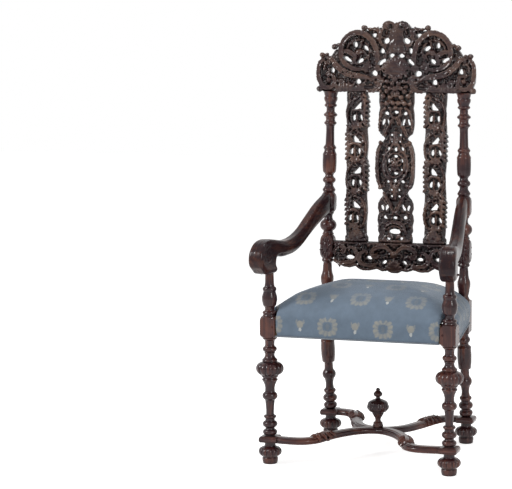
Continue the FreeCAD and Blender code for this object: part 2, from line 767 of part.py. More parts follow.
def seat_cover(name):
    """Damask cover: one thin shell drawn over the stuffing and down over the rails."""
    skin = float(size.cover_thickness)
    gap = float(size.soft_clearance)
    outer = seat_form(0.0).cut(post_notches(gap))
    inner = seat_form(skin).cut(post_notches(gap + skin))
    proud = float(size.cover_over_rail) - skin
    frame = Part.Face(rounded(seat_corners(proud / 2), float(size.welt_width), 0.0))
    frame = frame.extrude(V(0, 0, seat_floor() + gap))
    return feature(name, outer.cut([inner, frame]))


def seat_floor():
    """The level on which the stuffing lies, over the rails, webs and base cloth."""
    return float(RAIL_TOP + size.web_thickness * 2 + size.base_cloth_thickness)


def seat_stuffing(name):
    """Crowned pad of hair between the base cloth and the cover."""
    gap = float(size.soft_clearance)
    skin = float(size.cover_thickness) + gap
    form = seat_form(skin).cut(post_notches(gap + skin))
    floor = seat_floor()
    reach = float(size.front_spread)
    above = Part.makeBox(reach * 2, reach * 2, float(size.cover_crown))
    above.translate(V(-reach, -reach, floor))
    return feature(name, form.common(above))


def seat_welt(name):
    """Narrow welt sewn along the cover's lower edge, one length between each two posts."""
    proud = cover_outset(float(size.welt_width)) + float(size.soft_clearance) / 2
    floor = float(size.cover_bottom)
    height = V(0, 0, float(size.welt_width))
    corner = float(size.welt_width)
    outer = Part.Face(rounded(seat_corners(proud + float(size.welt_proud)), corner, floor))
    inner = Part.Face(rounded(seat_corners(proud), corner, floor))
    ring = outer.extrude(height).cut(inner.extrude(height))
    return feature(name, ring.cut(post_notches(float(size.soft_clearance))))


WEB_COUNT = 4
WEB_SPREAD_SHARE = 0.70


def web_places():
    """Shares of the seat, from one side to the other, at which a web lies."""
    step = WEB_SPREAD_SHARE / (WEB_COUNT - 1)
    return [step * number - WEB_SPREAD_SHARE / 2 for number in range(WEB_COUNT)]


def webbing(name, crosswise):
    """Linen webs tacked on the rails, the crosswise ones over the others."""
    middle = (FRONT_Y + REAR_Y) / 2
    webs = []
    for number, share in enumerate(web_places(), start=1):
        if crosswise:
            y = middle + size.seat_depth * share
            taper = (size.front_spread - size.rear_spread) * (share + 0.5)
            length = size.front_spread - taper
            web = box("%s_%d" % (name, number), length, size.web_width, size.web_thickness,
                      0, y, RAIL_TOP + size.web_thickness)
        else:
            web = box("%s_%d" % (name, number), size.web_width,
                      size.seat_depth + size.seat_rail_thickness / 2, size.web_thickness,
                      size.rear_spread * share, middle, RAIL_TOP)
        webs.append(web)
    group = doc.addObject("Part::Compound", name)
    group.Links = webs
    return group


def base_cloth(name):
    """Hessian spread over the webs to carry the stuffing."""
    inset = -float(size.seat_rail_thickness / 4)
    floor = float(RAIL_TOP + size.web_thickness * 2)
    sheet_wire = rounded(seat_corners(inset), float(size.web_width) / 5, floor)
    cloth = Part.Face(sheet_wire).extrude(V(0, 0, float(size.base_cloth_thickness)))
    return feature(name, cloth.cut(post_notches(float(size.soft_clearance))))


# X stretcher

STRETCHER_MIDDLE_SHARE = 0.48

# Centre line of one arm: share of the post's distance from the middle, share of the way in
FRONT_ARM_SHARES = [(1.0, 0.0), (0.81, -0.035), (0.60, -0.03), (0.50, 0.13), (0.46, 0.38),
                    (0.385, 0.62), (0.24, 0.83)]
REAR_ARM_SHARES = [(1.0, 0.0), (0.83, -0.03), (0.64, 0.0), (0.555, 0.16), (0.50, 0.38),
                   (0.41, 0.62), (0.26, 0.83)]
FRONT_EYE_SHARES = (0.375, 0.27)
REAR_EYE_SHARES = (0.39, 0.29)
LEAF_ENDS_SHARES = ((0.545, 0.05), (0.42, 0.55))
LEAF_BULGE_SHARE = 0.42
BEND_SHARE = 0.45


def stretcher_middle():
    way = float(REAR_FOOT_Y - FRONT_Y) * STRETCHER_MIDDLE_SHARE
    return V(0, float(FRONT_Y) + way, 0)


def arm_point(shares, side, front):
    """A point of a stretcher arm's plan from its shares."""
    across, inward = shares
    x = side * float(size.front_spread / 2 if front else size.rear_spread / 2) * across
    line = float(FRONT_Y if front else REAR_FOOT_Y)
    return V(x, line + (stretcher_middle().y - line) * inward, float(size.foot_height))


def bent_path(points):
    """Straight runs joined by tangent arcs, each as wide as its two runs allow."""
    edges = []
    here = points[0]
    for index in range(1, len(points) - 1):
        corner = points[index]
        back, ahead = points[index - 1] - corner, points[index + 1] - corner
        reach = BEND_SHARE * min(back.Length, ahead.Length)
        back.normalize()
        ahead.normalize()
        half = back.getAngle(ahead) / 2
        radius = reach * math.tan(half)
        start, end = corner + back * reach, corner + ahead * reach
        centre_way = (back + ahead).normalize()
        middle = corner + centre_way * (reach / math.cos(half) - radius)
        edges += [Part.makeLine(here, start), Part.Arc(start, middle, end).toShape()]
        here = end
    edges.append(Part.makeLine(here, points[-1]))
    return Part.Wire(edges)


def swept(path, section):
    """A section of (across, up, bulge) carried along a level path, kept upright."""
    first = path.Edges[0]
    start = first.valueAt(first.FirstParameter)
    along = first.tangentAt(first.FirstParameter)
    across = along.cross(UP)
    corners = [start + across * x + UP * z for x, z, _ in section]
    edges = []
    for index, corner in enumerate(corners):
        following = (index + 1) % len(corners)
        bulge = section[following][2]
        if not bulge:
            edges.append(Part.makeLine(corner, corners[following]))
            continue
        run = corners[following] - corner
        outward = run.cross(along)
        middle = corner + run * 0.5 + outward * (bulge * 0.5)
        edges.append(Part.Arc(corner, middle, corners[following]).toShape())
    shell = Part.BRepOffsetAPI.MakePipeShell(path)
    shell.setBiNormalMode(UP)
    shell.add(Part.Wire(edges))
    shell.build()
    shell.makeSolid()
    return shell.shape()


def diagonal_path(side):
    """Plan of one stretcher diagonal, from a front pad to the rear pad of the other side."""
    front = [arm_point(row, side, True) for row in FRONT_ARM_SHARES]
    rear = [arm_point(row, -side, False) for row in REAR_ARM_SHARES]
    return bent_path(front + list(reversed(rear)))


def stretcher_diagonal(name, side, over):
    """One serpentine diagonal with its square ends, halved over or under the other."""
    wide = float(size.stretcher_width) / 2
    thick = float(size.stretcher_thickness)
    mould = float(size.stretcher_moulding)
    slack = float(size.joint_clearance)
    section = [(-wide, 0, 0), (wide, 0, 0), (wide, thick - mould, 0), (wide - mould, thick, 0.41),
               (mould - wide, thick, 0), (-wide, thick - mould, 0.41)]
    body = swept(diagonal_path(side), section)
    carved = thick + float(size.stretcher_eye_rise)
    for row, hand, front in ((FRONT_EYE_SHARES, side, True), (REAR_EYE_SHARES, -side, False)):
        eye = Part.makeCylinder(float(size.stretcher_eye_radius), carved, arm_point(row, hand, front))
        ends = [arm_point(end, hand, front) for end in LEAF_ENDS_SHARES]
        body = body.fuse([eye, leaf(ends, carved)])
    pads = []
    holes = []
    for hand, spread, y in ((side, size.front_spread, FRONT_Y), (-side, size.rear_spread, REAR_FOOT_Y)):
        centre = V(hand * float(spread / 2), float(y), float(size.foot_height))
        pad = Part.makeBox(float(size.pad_width), float(size.pad_width), thick)
        pad.translate(centre - V(float(size.pad_width) / 2, float(size.pad_width) / 2, 0))
        top_edges = [edge for edge in pad.Edges if edge.CenterOfMass.z > centre.z + thick - slack]
        pads.append(pad.makeFillet(mould / 2, top_edges))
        holes.append(Part.makeCylinder(float(size.foot_tenon_radius) + slack, thick, centre))
    body = body.fuse(pads)
    half = thick / 2
    low, high = (-thick, half + slack / 2) if over else (half - slack / 2, thick * 2)
    lap = [(-wide - slack, low, 0), (wide + slack, low, 0), (wide + slack, high, 0), (-wide - slack, high, 0)]
    other = swept(diagonal_path(-side), lap)
    pin = Part.makeCylinder(float(size.finial_tenon_radius) + slack, thick * 2,
                            stretcher_middle() + V(0, 0, float(size.foot_height) - half))
    whole = body.cut([other, pin] + holes)
    return feature(name, whole.removeSplitter())


def leaf(ends, height):
    """A leaf carved over a bend of the stretcher: a pointed oval between two points."""
    start, end = ends
    run = end - start
    side = V(run.y, -run.x, 0) * (LEAF_BULGE_SHARE * 0.5)
    middle = (start + end) * 0.5
    outline = Part.Wire([Part.Arc(start, middle + side, end).toShape(),
                         Part.Arc(end, middle - side, start).toShape()])
    return Part.Face(outline).extrude(V(0, 0, height))


# Arms

# Side view of an arm: share of the run from the rear block to the scroll's front, share of the
# rise above the front post, and the share of the shorter run that each corner's arc takes
ARM_SHARES = [
    (0.0, 1.0, 0), (0.19, 0.885, 0.45), (0.40, 0.575, 0.45), (0.60, 0.42, 0.45),
    (0.76, 0.455, 0.45), (0.895, 0.535, 0.45), (1.0, 0.44, 0.45), (1.0, 0.10, 0.45),
    (0.90, -0.005, 0.45), (0.76, 0.0, 0.3), (0.715, 0.02, 0.45), (0.685, 0.085, 0.45),
    (0.715, 0.125, 0.3), (0.675, 0.175, 0.45), (0.535, 0.175, 0.45), (0.36, 0.255, 0.45),
    (0.19, 0.43, 0.45), (0.0, 0.637, 0),
]


# Above this share of the arm's rise only its top edges are met, below it the scroll's lip
ARM_TOP_SHARE = 0.2
# The widest chamfer that the arm takes, of its depth at the rear block
ARM_CHAMFER_WALL_SHARE = 0.055


def arm_start():
    """How far back the arm starts, at the middle of its block's front face."""
    return float(REAR_Y + arm_block_lean() - size.rear_square / 2)


def arm_splay():
    """The angle by which an arm opens outwards on its way to the front post."""
    return math.atan2(post_front_x() - arm_rear_x(), arm_start() - float(FRONT_Y))


def arm_run():
    """The arm's length along its splay, which brings a corner of the scroll to the front."""
    corner = (float(size.arm_width) / 2 - float(size.arm_edge_chamfer)) * math.sin(arm_splay())
    return (arm_start() + float(DEPTH) / 2 - corner) / math.cos(arm_splay())


def smooth_outline(points, shares):
    """A closed wire whose corners are arcs that take their share of the shorter run."""
    edges = []
    count = len(points)
    marks = []
    for index in range(count):
        corner = points[index]
        back, ahead = points[index - 1] - corner, points[(index + 1) % count] - corner
        reach = shares[index] * min(back.Length, ahead.Length)
        if not reach:
            marks.append((corner, None, corner))
            continue
        back.normalize()
        ahead.normalize()
        half = back.getAngle(ahead) / 2
        radius = reach * math.tan(half)
        middle = corner + (back + ahead).normalize() * (reach / math.cos(half) - radius)
        marks.append((corner + back * reach, middle, corner + ahead * reach))
    for index, (start, middle, end) in enumerate(marks):
        if middle is not None:
            edges.append(Part.Arc(start, middle, end).toShape())
        edges.append(Part.makeLine(end, marks[(index + 1) % count][0]))
    return Part.Wire(edges)


def arm_place(side):
    """The arm's own frame: it runs from the rear block's front face to the front post."""
    start = V(side * arm_rear_x(), arm_start(), float(size.arm_underside))
    return FreeCAD.Placement(start, FreeCAD.Rotation(UP, math.degrees(side * arm_splay())))


def post_front_x():
    return float(size.front_spread / 2)


def arm_rear_x():
    return post_x_at(float(size.arm_block_bottom + size.arm_block_height / 2))


def arm_block_lean():
    """How far back the arm block stands from the seat block, by the rake."""
    rise = size.arm_block_bottom + size.arm_block_height / 2 - REAR_BLOCK_TOP
    return size.back_rake * rise / (size.crest_bottom - REAR_BLOCK_TOP)


def arm_rear_tenon(name, side, slack):
    """The tenon at the arm's rear end, let into the arm block, or with slack its mortise."""
    hand = "left" if side < 0 else "right"
    depth = size.arm_rear_tenon + slack
    root = depth + size.overrun
    tenon = doc.addObject("Part::Box", name)
    thick = size.rail_tenon_thickness + slack * 2
    height = size.arm_rear_tenon_height + slack * 2
    bind(tenon, Length=thick, Width=root, Height=height)
    middle = float(size.arm_block_bottom + size.arm_block_height / 2)
    start = V(side * arm_rear_x() - float(thick) / 2, arm_start() - float(size.overrun),
              middle - float(height) / 2)
    tenon.Placement.Base = start
    return tenon


def arm_block(name, side):
    """The arm's rear end follows the front face of this block, wider than the post's own."""
    block = doc.addObject("Part::Box", name)
    bind(block, Length=size.rear_square * 2, Width=size.rear_square, Height=size.arm_block_height * 2)
    corner = V(-float(size.rear_square), -float(size.rear_square) / 2,
               float(size.arm_block_bottom) - float(size.arm_block_height) / 2)
    block.Placement = rear_post_place(side) * FreeCAD.Placement(corner, FreeCAD.Rotation())
    return block


def arm(name, side):
    """Down-swept arm ending in a scrolled hand hold, tenoned at both ends."""
    run, rise, root = arm_run(), float(ARM_RISE), float(size.overrun)
    points = [V(0, -run * forward if forward else root, rise * up) for forward, up, _ in ARM_SHARES]
    outline = smooth_outline(points, [share for _, _, share in ARM_SHARES])
    wide, tail = float(size.arm_width) / 2, float(size.arm_tail_width) / 2
    board = Part.Face(outline).extrude(V(wide * 2, 0, 0))
    board.translate(V(-wide, 0, 0))
    plan = Part.makePolygon([V(-tail, root, -rise), V(tail, root, -rise), V(wide, -run, -rise),
                             V(-wide, -run, -rise), V(-tail, root, -rise)])
    stock = Part.Face(plan).extrude(V(0, 0, rise * 3))
    shaped = board.common(stock).removeSplitter().Solids[0]
    edges = [edge for edge in shaped.Edges if is_top_edge(shaped, edge)]
    wall = rise * (ARM_SHARES[0][1] - ARM_SHARES[-1][1])
    shaped = shaped.makeChamfer(min(float(size.arm_edge_chamfer), wall * ARM_CHAMFER_WALL_SHARE), edges)
    shaped.Placement = arm_place(side)
    body = less(name + "_body", feature(name + "_shaped", shaped), [arm_block(name + "_end", side)])
    whole = joined(name + "_whole", [body, arm_rear_tenon(name + "_tenon", side, size.joint_clearance * 0)])
    slack = size.joint_clearance
    socket = rod(name + "_socket", size.arm_tenon_radius + slack, size.arm_tenon_length + slack,
                 V(side * post_front_x(), float(FRONT_Y), float(size.arm_underside)), UP)
    pins = [pin(name + "_pin_" + joint, joint, side, slack) for joint in ("arm_rear", "arm_front")]
    return less(name, whole, [socket] + pins)


def is_top_edge(shaped, edge):
    """Whether an edge runs along the top of one of the arm's flanks."""
    start, end = edge.Vertexes[0].Point, edge.Vertexes[-1].Point
    middle = edge.valueAt((edge.FirstParameter + edge.LastParameter) / 2)
    if start.x * end.x < 0 or start.y == end.y or middle.z < float(ARM_RISE) * ARM_TOP_SHARE:
        return False
    step = float(size.peg_radius)
    inward = V(-step if middle.x > 0 else step, 0, 0)
    return not shaped.isInside(middle + inward + UP * step, float(size.joint_clearance), True)


# Carved and pierced back

def mirrored(rows):
    """A whole outline from its right half, bottom middle to top middle, both on the axis."""
    whole = list(rows)
    for index in range(len(rows) - 2, 0, -1):
        x, z, _ = rows[index]
        whole.append((-x, z, rows[index + 1][2]))
    closing = rows[1][2]
    first = rows[0]
    whole[0] = (first[0], first[1], closing)
    return whole


def flat_wire(rows):
    """A closed wire in the XZ plane through corners (x, z, bulge)."""
    points = [V(x, z, 0) for x, z, _ in rows]
    edges = []
    for index, point in enumerate(points):
        following = (index + 1) % len(points)
        end, bulge = points[following], rows[following][2]
        if bulge:
            edges.append(Part.Arc(point, arc_middle(point, end, bulge), end).toShape())
        else:
            edges.append(Part.makeLine(point, end))
    wire = Part.Wire(edges)
    wire.rotate(V(0, 0, 0), ACROSS, 90)
    return wire


def slab(wires, front, thickness):
    """Extrudes a wire, less the wires after it, backwards from a front plane."""
    face = Part.Face(wires)
    face.translate(V(0, front, 0))
    return face.extrude(V(0, thickness, 0))


# Bulge of the sides of an opening with two, three or four corners
OPENING_BULGE_SHARES = {2: 0.62, 3: 0.22, 4: 0.38}


def opening(x, z, length, width, tilt, corners):
    """A pierced opening: a lens, a soft triangle or an oval."""
    bulge = OPENING_BULGE_SHARES[corners] if corners > 2 else width / length
    rows = []
    for number in range(corners):
        angle = 2 * math.pi * number / corners
        along, across = length / 2 * math.cos(angle), width / 2 * math.sin(angle)
        turn_by = math.radians(tilt)
        rows.append((x + along * math.cos(turn_by) - across * math.sin(turn_by),
                     z + along * math.sin(turn_by) + across * math.cos(turn_by), bulge))
    return flat_wire(rows)


def openings(rows, half_width, height, bottom, both=True):
    """Wires of a table of openings: x, z, length, width as shares, tilt, corners."""
    wires = []
    for x, z, length, width, tilt, corners in rows:
        hands = (1, -1) if both and x else (1,)
        for hand in hands:
            lean = tilt if hand > 0 else 180 - tilt
            wires.append(opening(hand * x * half_width, bottom + z * height, length * half_width,
                                 width * half_width, lean, corners))
    return wires


def volute(x, z, radius, start, quarters, width, hand):
    """Wire of a scroll: quarter arcs whose radius falls to its eye."""
    rows_out, rows_in = [], []
    centre = V(x, z, 0)
    turn_by = math.radians(start)
    reach = radius
    for step in range(quarters):
        next_turn = turn_by + hand * math.pi / 2
        begin = V(math.cos(turn_by), math.sin(turn_by), 0)
        finish = V(math.cos(next_turn), math.sin(next_turn), 0)
        half_way = V(math.cos((turn_by + next_turn) / 2), math.sin((turn_by + next_turn) / 2), 0)
        for rows, offset in ((rows_out, width / 2), (rows_in, -width / 2)):
            rows.append([centre + way * (reach + offset) for way in (begin, half_way, finish)])
        fall = reach * VOLUTE_FALL_SHARE
        centre = centre + finish * fall
        reach = reach - fall
        turn_by = next_turn
    edges = [Part.Arc(*row).toShape() for row in rows_out]
    edges.append(Part.makeLine(rows_out[-1][2], rows_in[-1][2]))
    edges += [Part.Arc(*reversed(row)).toShape() for row in reversed(rows_in)]
    edges.append(Part.makeLine(rows_in[0][0], rows_out[0][0]))
    wire = Part.Wire(edges)
    wire.rotate(V(0, 0, 0), ACROSS, 90)
    return wire


VOLUTE_FALL_SHARE = 0.26
HALF_TURN = 180


def volutes(rows, half_width, height, bottom, front, relief, both=True):
    """Raised scrolls from a table: x, z, radius, start angle, quarters, width, hand."""
    solids = []
    for x, z, radius, start, quarters, width, hand in rows:
        for mirror in ((1, -1) if both and x else (1,)):
            angle = start if mirror > 0 else HALF_TURN - start
            wire = volute(mirror * x * half_width, bottom + z * height, radius * half_width, angle,
                          quarters, width * half_width, hand * mirror)
            solids.append(slab([wire], front - relief, relief * 2))
    return solids


def bosses(rows, half_width, height, bottom, front, both=True):
    """Raised domes from a table: x, z, radius and rise as shares."""
    solids = []
    for x, z, radius, rise in rows:
        for mirror in ((1, -1) if both and x else (1,)):
            wide, proud = radius * half_width, rise * half_width
            ball = (wide * wide + proud * proud) / (2 * proud)
            centre = V(mirror * x * half_width, front - proud + ball, bottom + z * height)
            angle = math.degrees(math.asin(min(1.0, wide / ball)))
            dome = Part.makeSphere(ball, centre, FORWARD, 90 - angle, 90, 360)
            stalk = Part.makeCylinder(wide, proud, V(centre.x, front, centre.z), V(0, 1, 0))
            solids += [dome, stalk]
    return solids


def rings(rows, half_width, height, bottom, front, relief):
    """Raised oval bands from a table: x, z, tall, wide and band as shares."""
    solids = []
    for x, z, tall, wide, band in rows:
        place = (x * half_width, bottom + z * height)
        outer = opening(*place, tall * half_width, wide * half_width, 90, 4)
        inner = opening(*place, (tall - band * 2) * half_width, (wide - band * 2) * half_width, 90, 4)
        solids.append(slab([outer, inner], front - relief, relief * 2))
    return solids


def pierced_panel(outline, holes, raised, half_width, height, bottom, thickness):
    """A carved panel in the plane of the back: outline, raised work, then its openings."""
    rows = [(x * half_width, bottom + z * height, bulge) for x, z, bulge in mirrored(outline)]
    panel = slab([flat_wire(rows)], -thickness / 2, thickness)
    if raised:
        panel = panel.fuse(raised)
    cutters = [slab([wire], -thickness, thickness * 2) for wire in holes]
    return panel.cut(cutters).removeSplitter()


CREST_SHARES = [
    (0.0, 0.0, 0), (0.955, 0.0, 0), (1.0, 0.055, 0.3), (0.965, 0.11, 0.5), (0.945, 0.475, 0.29),
    (0.92, 0.55, 0.6), (0.865, 0.53, 0.5), (0.845, 0.585, -0.2), (0.825, 0.625, 0.4),
    (0.765, 0.635, 0.6), (0.745, 0.61, 0.2), (0.70, 0.655, -0.2), (0.50, 0.862, 0.33),
    (0.475, 0.90, 0), (0.36, 0.915, 0.6), (0.335, 0.865, 0.2), (0.305, 0.88, 0),
    (0.29, 0.915, 0.4), (0.20, 0.925, 0.25), (0.165, 0.91, 0), (0.155, 0.94, 0),
    (0.135, 0.99, 0.3), (0.05, 0.99, 0.2), (0.0, 0.965, -0.2),
]

CREST_OPENING_SHARES = [
    (0.514, 0.654, 0.038, 0.032, 0, 4), (0.381, 0.61, 0.06, 0.03, 60, 2),
    (0.619, 0.456, 0.105, 0.04, 35, 2), (0.451, 0.43, 0.07, 0.045, -55, 3),
    (0.80, 0.298, 0.085, 0.065, 90, 3), (0.479, 0.149, 0.075, 0.06, 90, 3),
    (0.272, 0.263, 0.085, 0.065, -35, 3), (0.276, 0.78, 0.06, 0.05, 20, 3),
    (0.12, 0.70, 0.075, 0.07, 90, 3), (0.175, 0.57, 0.055, 0.055, 90, 3),
    (0.062, 0.504, 0.07, 0.05, 0, 4), (0.179, 0.417, 0.09, 0.038, -30, 2),
]

CREST_VOLUTE_SHARES = [
    (0.50, 0.575, 0.20, -50, 5, 0.05, 1), (0.82, 0.31, 0.15, 75, 5, 0.045, -1),
    (0.13, 0.375, 0.155, 10, 3, 0.035, 1), (0.62, 0.17, 0.11, 150, 4, 0.035, -1),
]

CREST_BOSS_SHARES = [
    (0.90, 0.51, 0.035, 0.02), (0.79, 0.60, 0.036, 0.022), (0.42, 0.885, 0.038, 0.022),
    (0.245, 0.89, 0.038, 0.02), (0.08, 0.93, 0.055, 0.03), (0.0, 0.30, 0.10, 0.035),
    (0.0, 0.09, 0.065, 0.035), (0.09, 0.13, 0.042, 0.025), (0.055, 0.035, 0.036, 0.022),
]

SPLAT_UNITS = 4
SPLAT_BASE_SHARE = 0.15
SIDE_SPLAT_WAIST_SHARE = 0.90
SIDE_SPLAT_EDGE_BULGE_SHARE = 0.10

# One repeat of a side splat, heights as shares of the splat above the repeat's foot
SIDE_UNIT_OPENING_SHARES = [(0.0, 0.11, 0.62, 0.52, 90, 3), (0.31, 0.035, 0.46, 0.26, 80, 2)]
SIDE_UNIT_VOLUTE_SHARES = [(0.08, 0.10, 0.70, 265, 4, 0.17, 1)]
SIDE_UNIT_BOSS_SHARES = [(0.0, 0.07, 0.15, 0.08)]
SIDE_BASE_BOSS_SHARES = [(0.0, 0.055, 0.55, 0.11)]

CENTRE_SPLAT_SHARES = [
    (0.0, 0.0, 0), (1.0, 0.0, 0), (1.0, 0.06, 0), (0.93, 0.10, 0), (1.0, 0.17, 0.15),
    (0.93, 0.245, 0.15), (0.97, 0.305, 0.2), (0.72, 0.335, 0), (0.80, 0.37, 0.2),
    (1.0, 0.45, 0.15), (1.0, 0.58, 0.08), (0.82, 0.655, 0.2), (0.70, 0.69, 0),
    (0.97, 0.76, 0.25), (0.93, 0.83, 0.1), (1.0, 0.90, 0.1), (0.97, 1.0, 0.05), (0.0, 1.0, 0),
]

CENTRE_OPENING_SHARES = [
    (0.0, 0.871, 0.24, 0.16, -90, 3), (0.51, 0.863, 0.20, 0.15, 20, 3),
    (0.40, 0.803, 0.28, 0.12, 115, 2), (0.70, 0.803, 0.27, 0.11, 115, 2),
    (0.24, 0.719, 0.15, 0.12, 90, 3), (0.22, 0.676, 0.11, 0.10, 0, 4),
    (0.0, 0.625, 0.18, 0.10, 0, 2), (0.37, 0.63, 0.11, 0.09, 0, 4),
    (0.0, 0.577, 0.18, 0.09, 0, 2), (0.38, 0.543, 0.18, 0.09, 80, 2), (0.0, 0.464, 0.18, 0.09, 0, 2),
    (0.38, 0.406, 0.15, 0.11, -30, 3), (0.0, 0.412, 0.14, 0.09, 0, 4),
    (0.20, 0.352, 0.09, 0.07, 0, 4), (0.20, 0.309, 0.09, 0.08, 0, 4),
    (0.44, 0.232, 0.25, 0.12, 115, 2), (0.72, 0.23, 0.25, 0.11, 115, 2),
    (0.0, 0.165, 0.20, 0.09, 0, 2), (0.54, 0.167, 0.14, 0.10, 0, 4),
    (0.0, 0.075, 0.63, 0.20, 0, 2), (0.38, 0.028, 0.16, 0.12, -40, 3),
]

CENTRE_RING_SHARES = [(0.0, 0.517, 1.72, 1.50, 0.10), (0.0, 0.517, 1.20, 1.04, 0.08)]

CENTRE_VOLUTE_SHARES = [
    (0.66, 0.385, 0.20, 0, 4, 0.10, -1), (0.66, 0.655, 0.18, 0, 4, 0.10, 1),
    (0.62, 0.90, 0.27, 90, 4, 0.11, -1), (0.60, 0.10, 0.30, 100, 4, 0.11, -1),
]

CENTRE_BOSS_SHARES = [(0.0, 0.517, 0.24, 0.11), (0.0, 0.965, 0.20, 0.10), (0.30, 0.955, 0.13, 0.07),
                      (0.0, 0.76, 0.13, 0.06), (0.0, 0.25, 0.16, 0.06)]

BACK_RAIL_SHARES = [
    (0.0, 0.0, 0), (0.13, 0.06, 0.15), (0.165, 0.11, 0), (0.30, 0.11, 0.3), (0.60, 0.15, 0.22),
    (0.64, 0.19, 0), (0.86, 0.19, 0.18), (1.0, 0.32, 0.1), (1.0, 1.0, 0), (0.0, 1.0, 0),
]

BACK_RAIL_OPENING_SHARES = [
    (0.73, 0.48, 0.14, 0.06, 0, 4), (0.41, 0.47, 0.10, 0.05, 0, 4), (0.165, 0.36, 0.085, 0.05, -55, 2),
]

BACK_RAIL_VOLUTE_SHARES = [
    (0.86, 0.60, 0.09, 0, 3, 0.035, 1), (0.57, 0.45, 0.075, 180, 3, 0.03, -1),
    (0.27, 0.42, 0.075, 0, 3, 0.03, 1),
]

BACK_RAIL_BOSS_SHARES = [(0.0, 0.20, 0.065, 0.03), (0.0, 0.60, 0.075, 0.03), (0.41, 0.20, 0.05, 0.02)]


def tongue(width, thickness, bottom, depth, x):
    """A splat's tongue, or the groove that takes it, at one end."""
    piece = Part.makeBox(width, thickness, depth)
    piece.translate(V(x - width / 2, -thickness / 2, bottom))
    return piece


SPLATS = {"splat_left": -1, "splat_center": 0, "splat_right": 1}


def splat_grooves(top):
    """Grooves for the three splats, in the crest's bottom edge or the rail's top edge."""
    slack = float(size.joint_clearance)
    depth = float(size.splat_tongue) + slack
    thick = float(size.splat_tongue_thickness) + slack * 2
    bottom = float(size.crest_bottom) if top else float(size.back_rail_top) - depth
    grooves = []
    for hand in SPLATS.values():
        width = float(size.side_splat_width if hand else size.centre_splat_width)
        width = width - float(size.splat_tongue) * 2 + slack * 2
        grooves.append(tongue(width, thick, bottom, depth, hand * float(size.side_splat_centre)))
    return grooves


def splat(name, hand):
    """One pierced splat with a tongue at each end."""
    width = float(size.side_splat_width if hand else size.centre_splat_width)
    bottom = float(size.back_rail_top)
    height = float(size.crest_bottom) - bottom
    thick = float(size.splat_thickness)
    relief = float(size.splat_relief)
    half = width / 2
    if hand:
        outline, holes, raised = side_splat_work(half, height, bottom, thick, relief)
    else:
        outline = CENTRE_SPLAT_SHARES
        holes = openings(CENTRE_OPENING_SHARES, half, height, bottom)
        raised = volutes(CENTRE_VOLUTE_SHARES, half, height, bottom, -thick / 2, relief)
        raised += rings(CENTRE_RING_SHARES, half, height, bottom, -thick / 2, relief)
        raised += bosses(CENTRE_BOSS_SHARES, half, height, bottom, -thick / 2)
    panel = pierced_panel(outline, holes, raised, half, height, bottom, thick)
    inset = float(size.splat_tongue)
    tongues = [tongue(width - inset * 2, float(size.splat_tongue_thickness), level, inset * 2, 0)
               for level in (bottom - inset, bottom + height - inset)]
    panel = panel.fuse(tongues).removeSplitter()
    aside = FreeCAD.Placement(V(hand * float(size.side_splat_centre), 0, 0), FreeCAD.Rotation())
    return feature(name, panel, back_place() * aside)


def side_splat_work(half, height, bottom, thick, relief):
    """Outline, openings and raised scrolls of a side splat, repeat by repeat."""
    pitch = (1 - SPLAT_BASE_SHARE) / SPLAT_UNITS
    outline = [(0.0, 0.0, 0), (1.0, 0.0, 0), (1.0, SPLAT_BASE_SHARE * 0.8, 0)]
    holes = []
    raised = bosses(SIDE_BASE_BOSS_SHARES, half, height, bottom, -thick / 2)
    for unit in range(SPLAT_UNITS):
        foot_share = SPLAT_BASE_SHARE + pitch * unit
        arriving = SIDE_SPLAT_EDGE_BULGE_SHARE if unit else 0
        outline.append((SIDE_SPLAT_WAIST_SHARE, foot_share, arriving))
        hand = 1 if unit % 2 else -1
        holes += openings([(x, foot_share + z, *rest) for x, z, *rest in SIDE_UNIT_OPENING_SHARES],
                          half, height, bottom)
        scrolls = []
        for x, z, radius, start, quarters, wide, way in SIDE_UNIT_VOLUTE_SHARES:
            begin = start if hand > 0 else HALF_TURN - start
            scrolls.append((x * hand, foot_share + z, radius, begin, quarters, wide, way * hand))
        raised += volutes(scrolls, half, height, bottom, -thick / 2, relief, both=False)
        raised += bosses([(x, foot_share + z, wide, rise) for x, z, wide, rise in SIDE_UNIT_BOSS_SHARES],
                         half, height, bottom, -thick / 2)
    outline += [(1.0, 1.0, SIDE_SPLAT_EDGE_BULGE_SHARE), (0.0, 1.0, 0)]
    return outline, holes, raised


def crest_rail(name):
    """Pierced crest: two great volutes, lower scrolls and a shell, with its joints cut."""
    half, height, bottom = float(size.crest_width) / 2, float(size.crest_height), float(size.crest_bottom)
    thick, relief = float(size.crest_thickness), float(size.crest_relief)
    holes = openings(CREST_OPENING_SHARES, half, height, bottom)
    raised = volutes(CREST_VOLUTE_SHARES, half, height, bottom, -thick / 2, relief)
    raised += bosses(CREST_BOSS_SHARES, half, height, bottom, -thick / 2)
    panel = pierced_panel(CREST_SHARES, holes, raised, half, height, bottom, thick)
    panel = panel.cut(splat_grooves(True))
    body = feature(name + "_carving", panel, back_place())
    cuts = []
    for hand, side in SIDES.items():
        slack = size.joint_clearance
        socket = rod(name + "_socket_" + hand, size.crest_tenon_radius + slack,
                     size.crest_tenon_length + slack, V(0, 0, 0), UP)
        at_crest = FreeCAD.Placement(V(0, 0, float(size.crest_bottom)), FreeCAD.Rotation())
        socket.Placement = rear_post_place(side) * at_crest
        cuts += [socket, pin(name + "_pin_" + hand, "crest", side, slack)]
    return less(name, body, cuts)


def back_rail_end():
    """Half the back rail's length between the two carved blocks."""
    return post_x_at(float(size.rail_block_bottom + size.rail_block_height / 2)) - float(size.rear_square) / 2


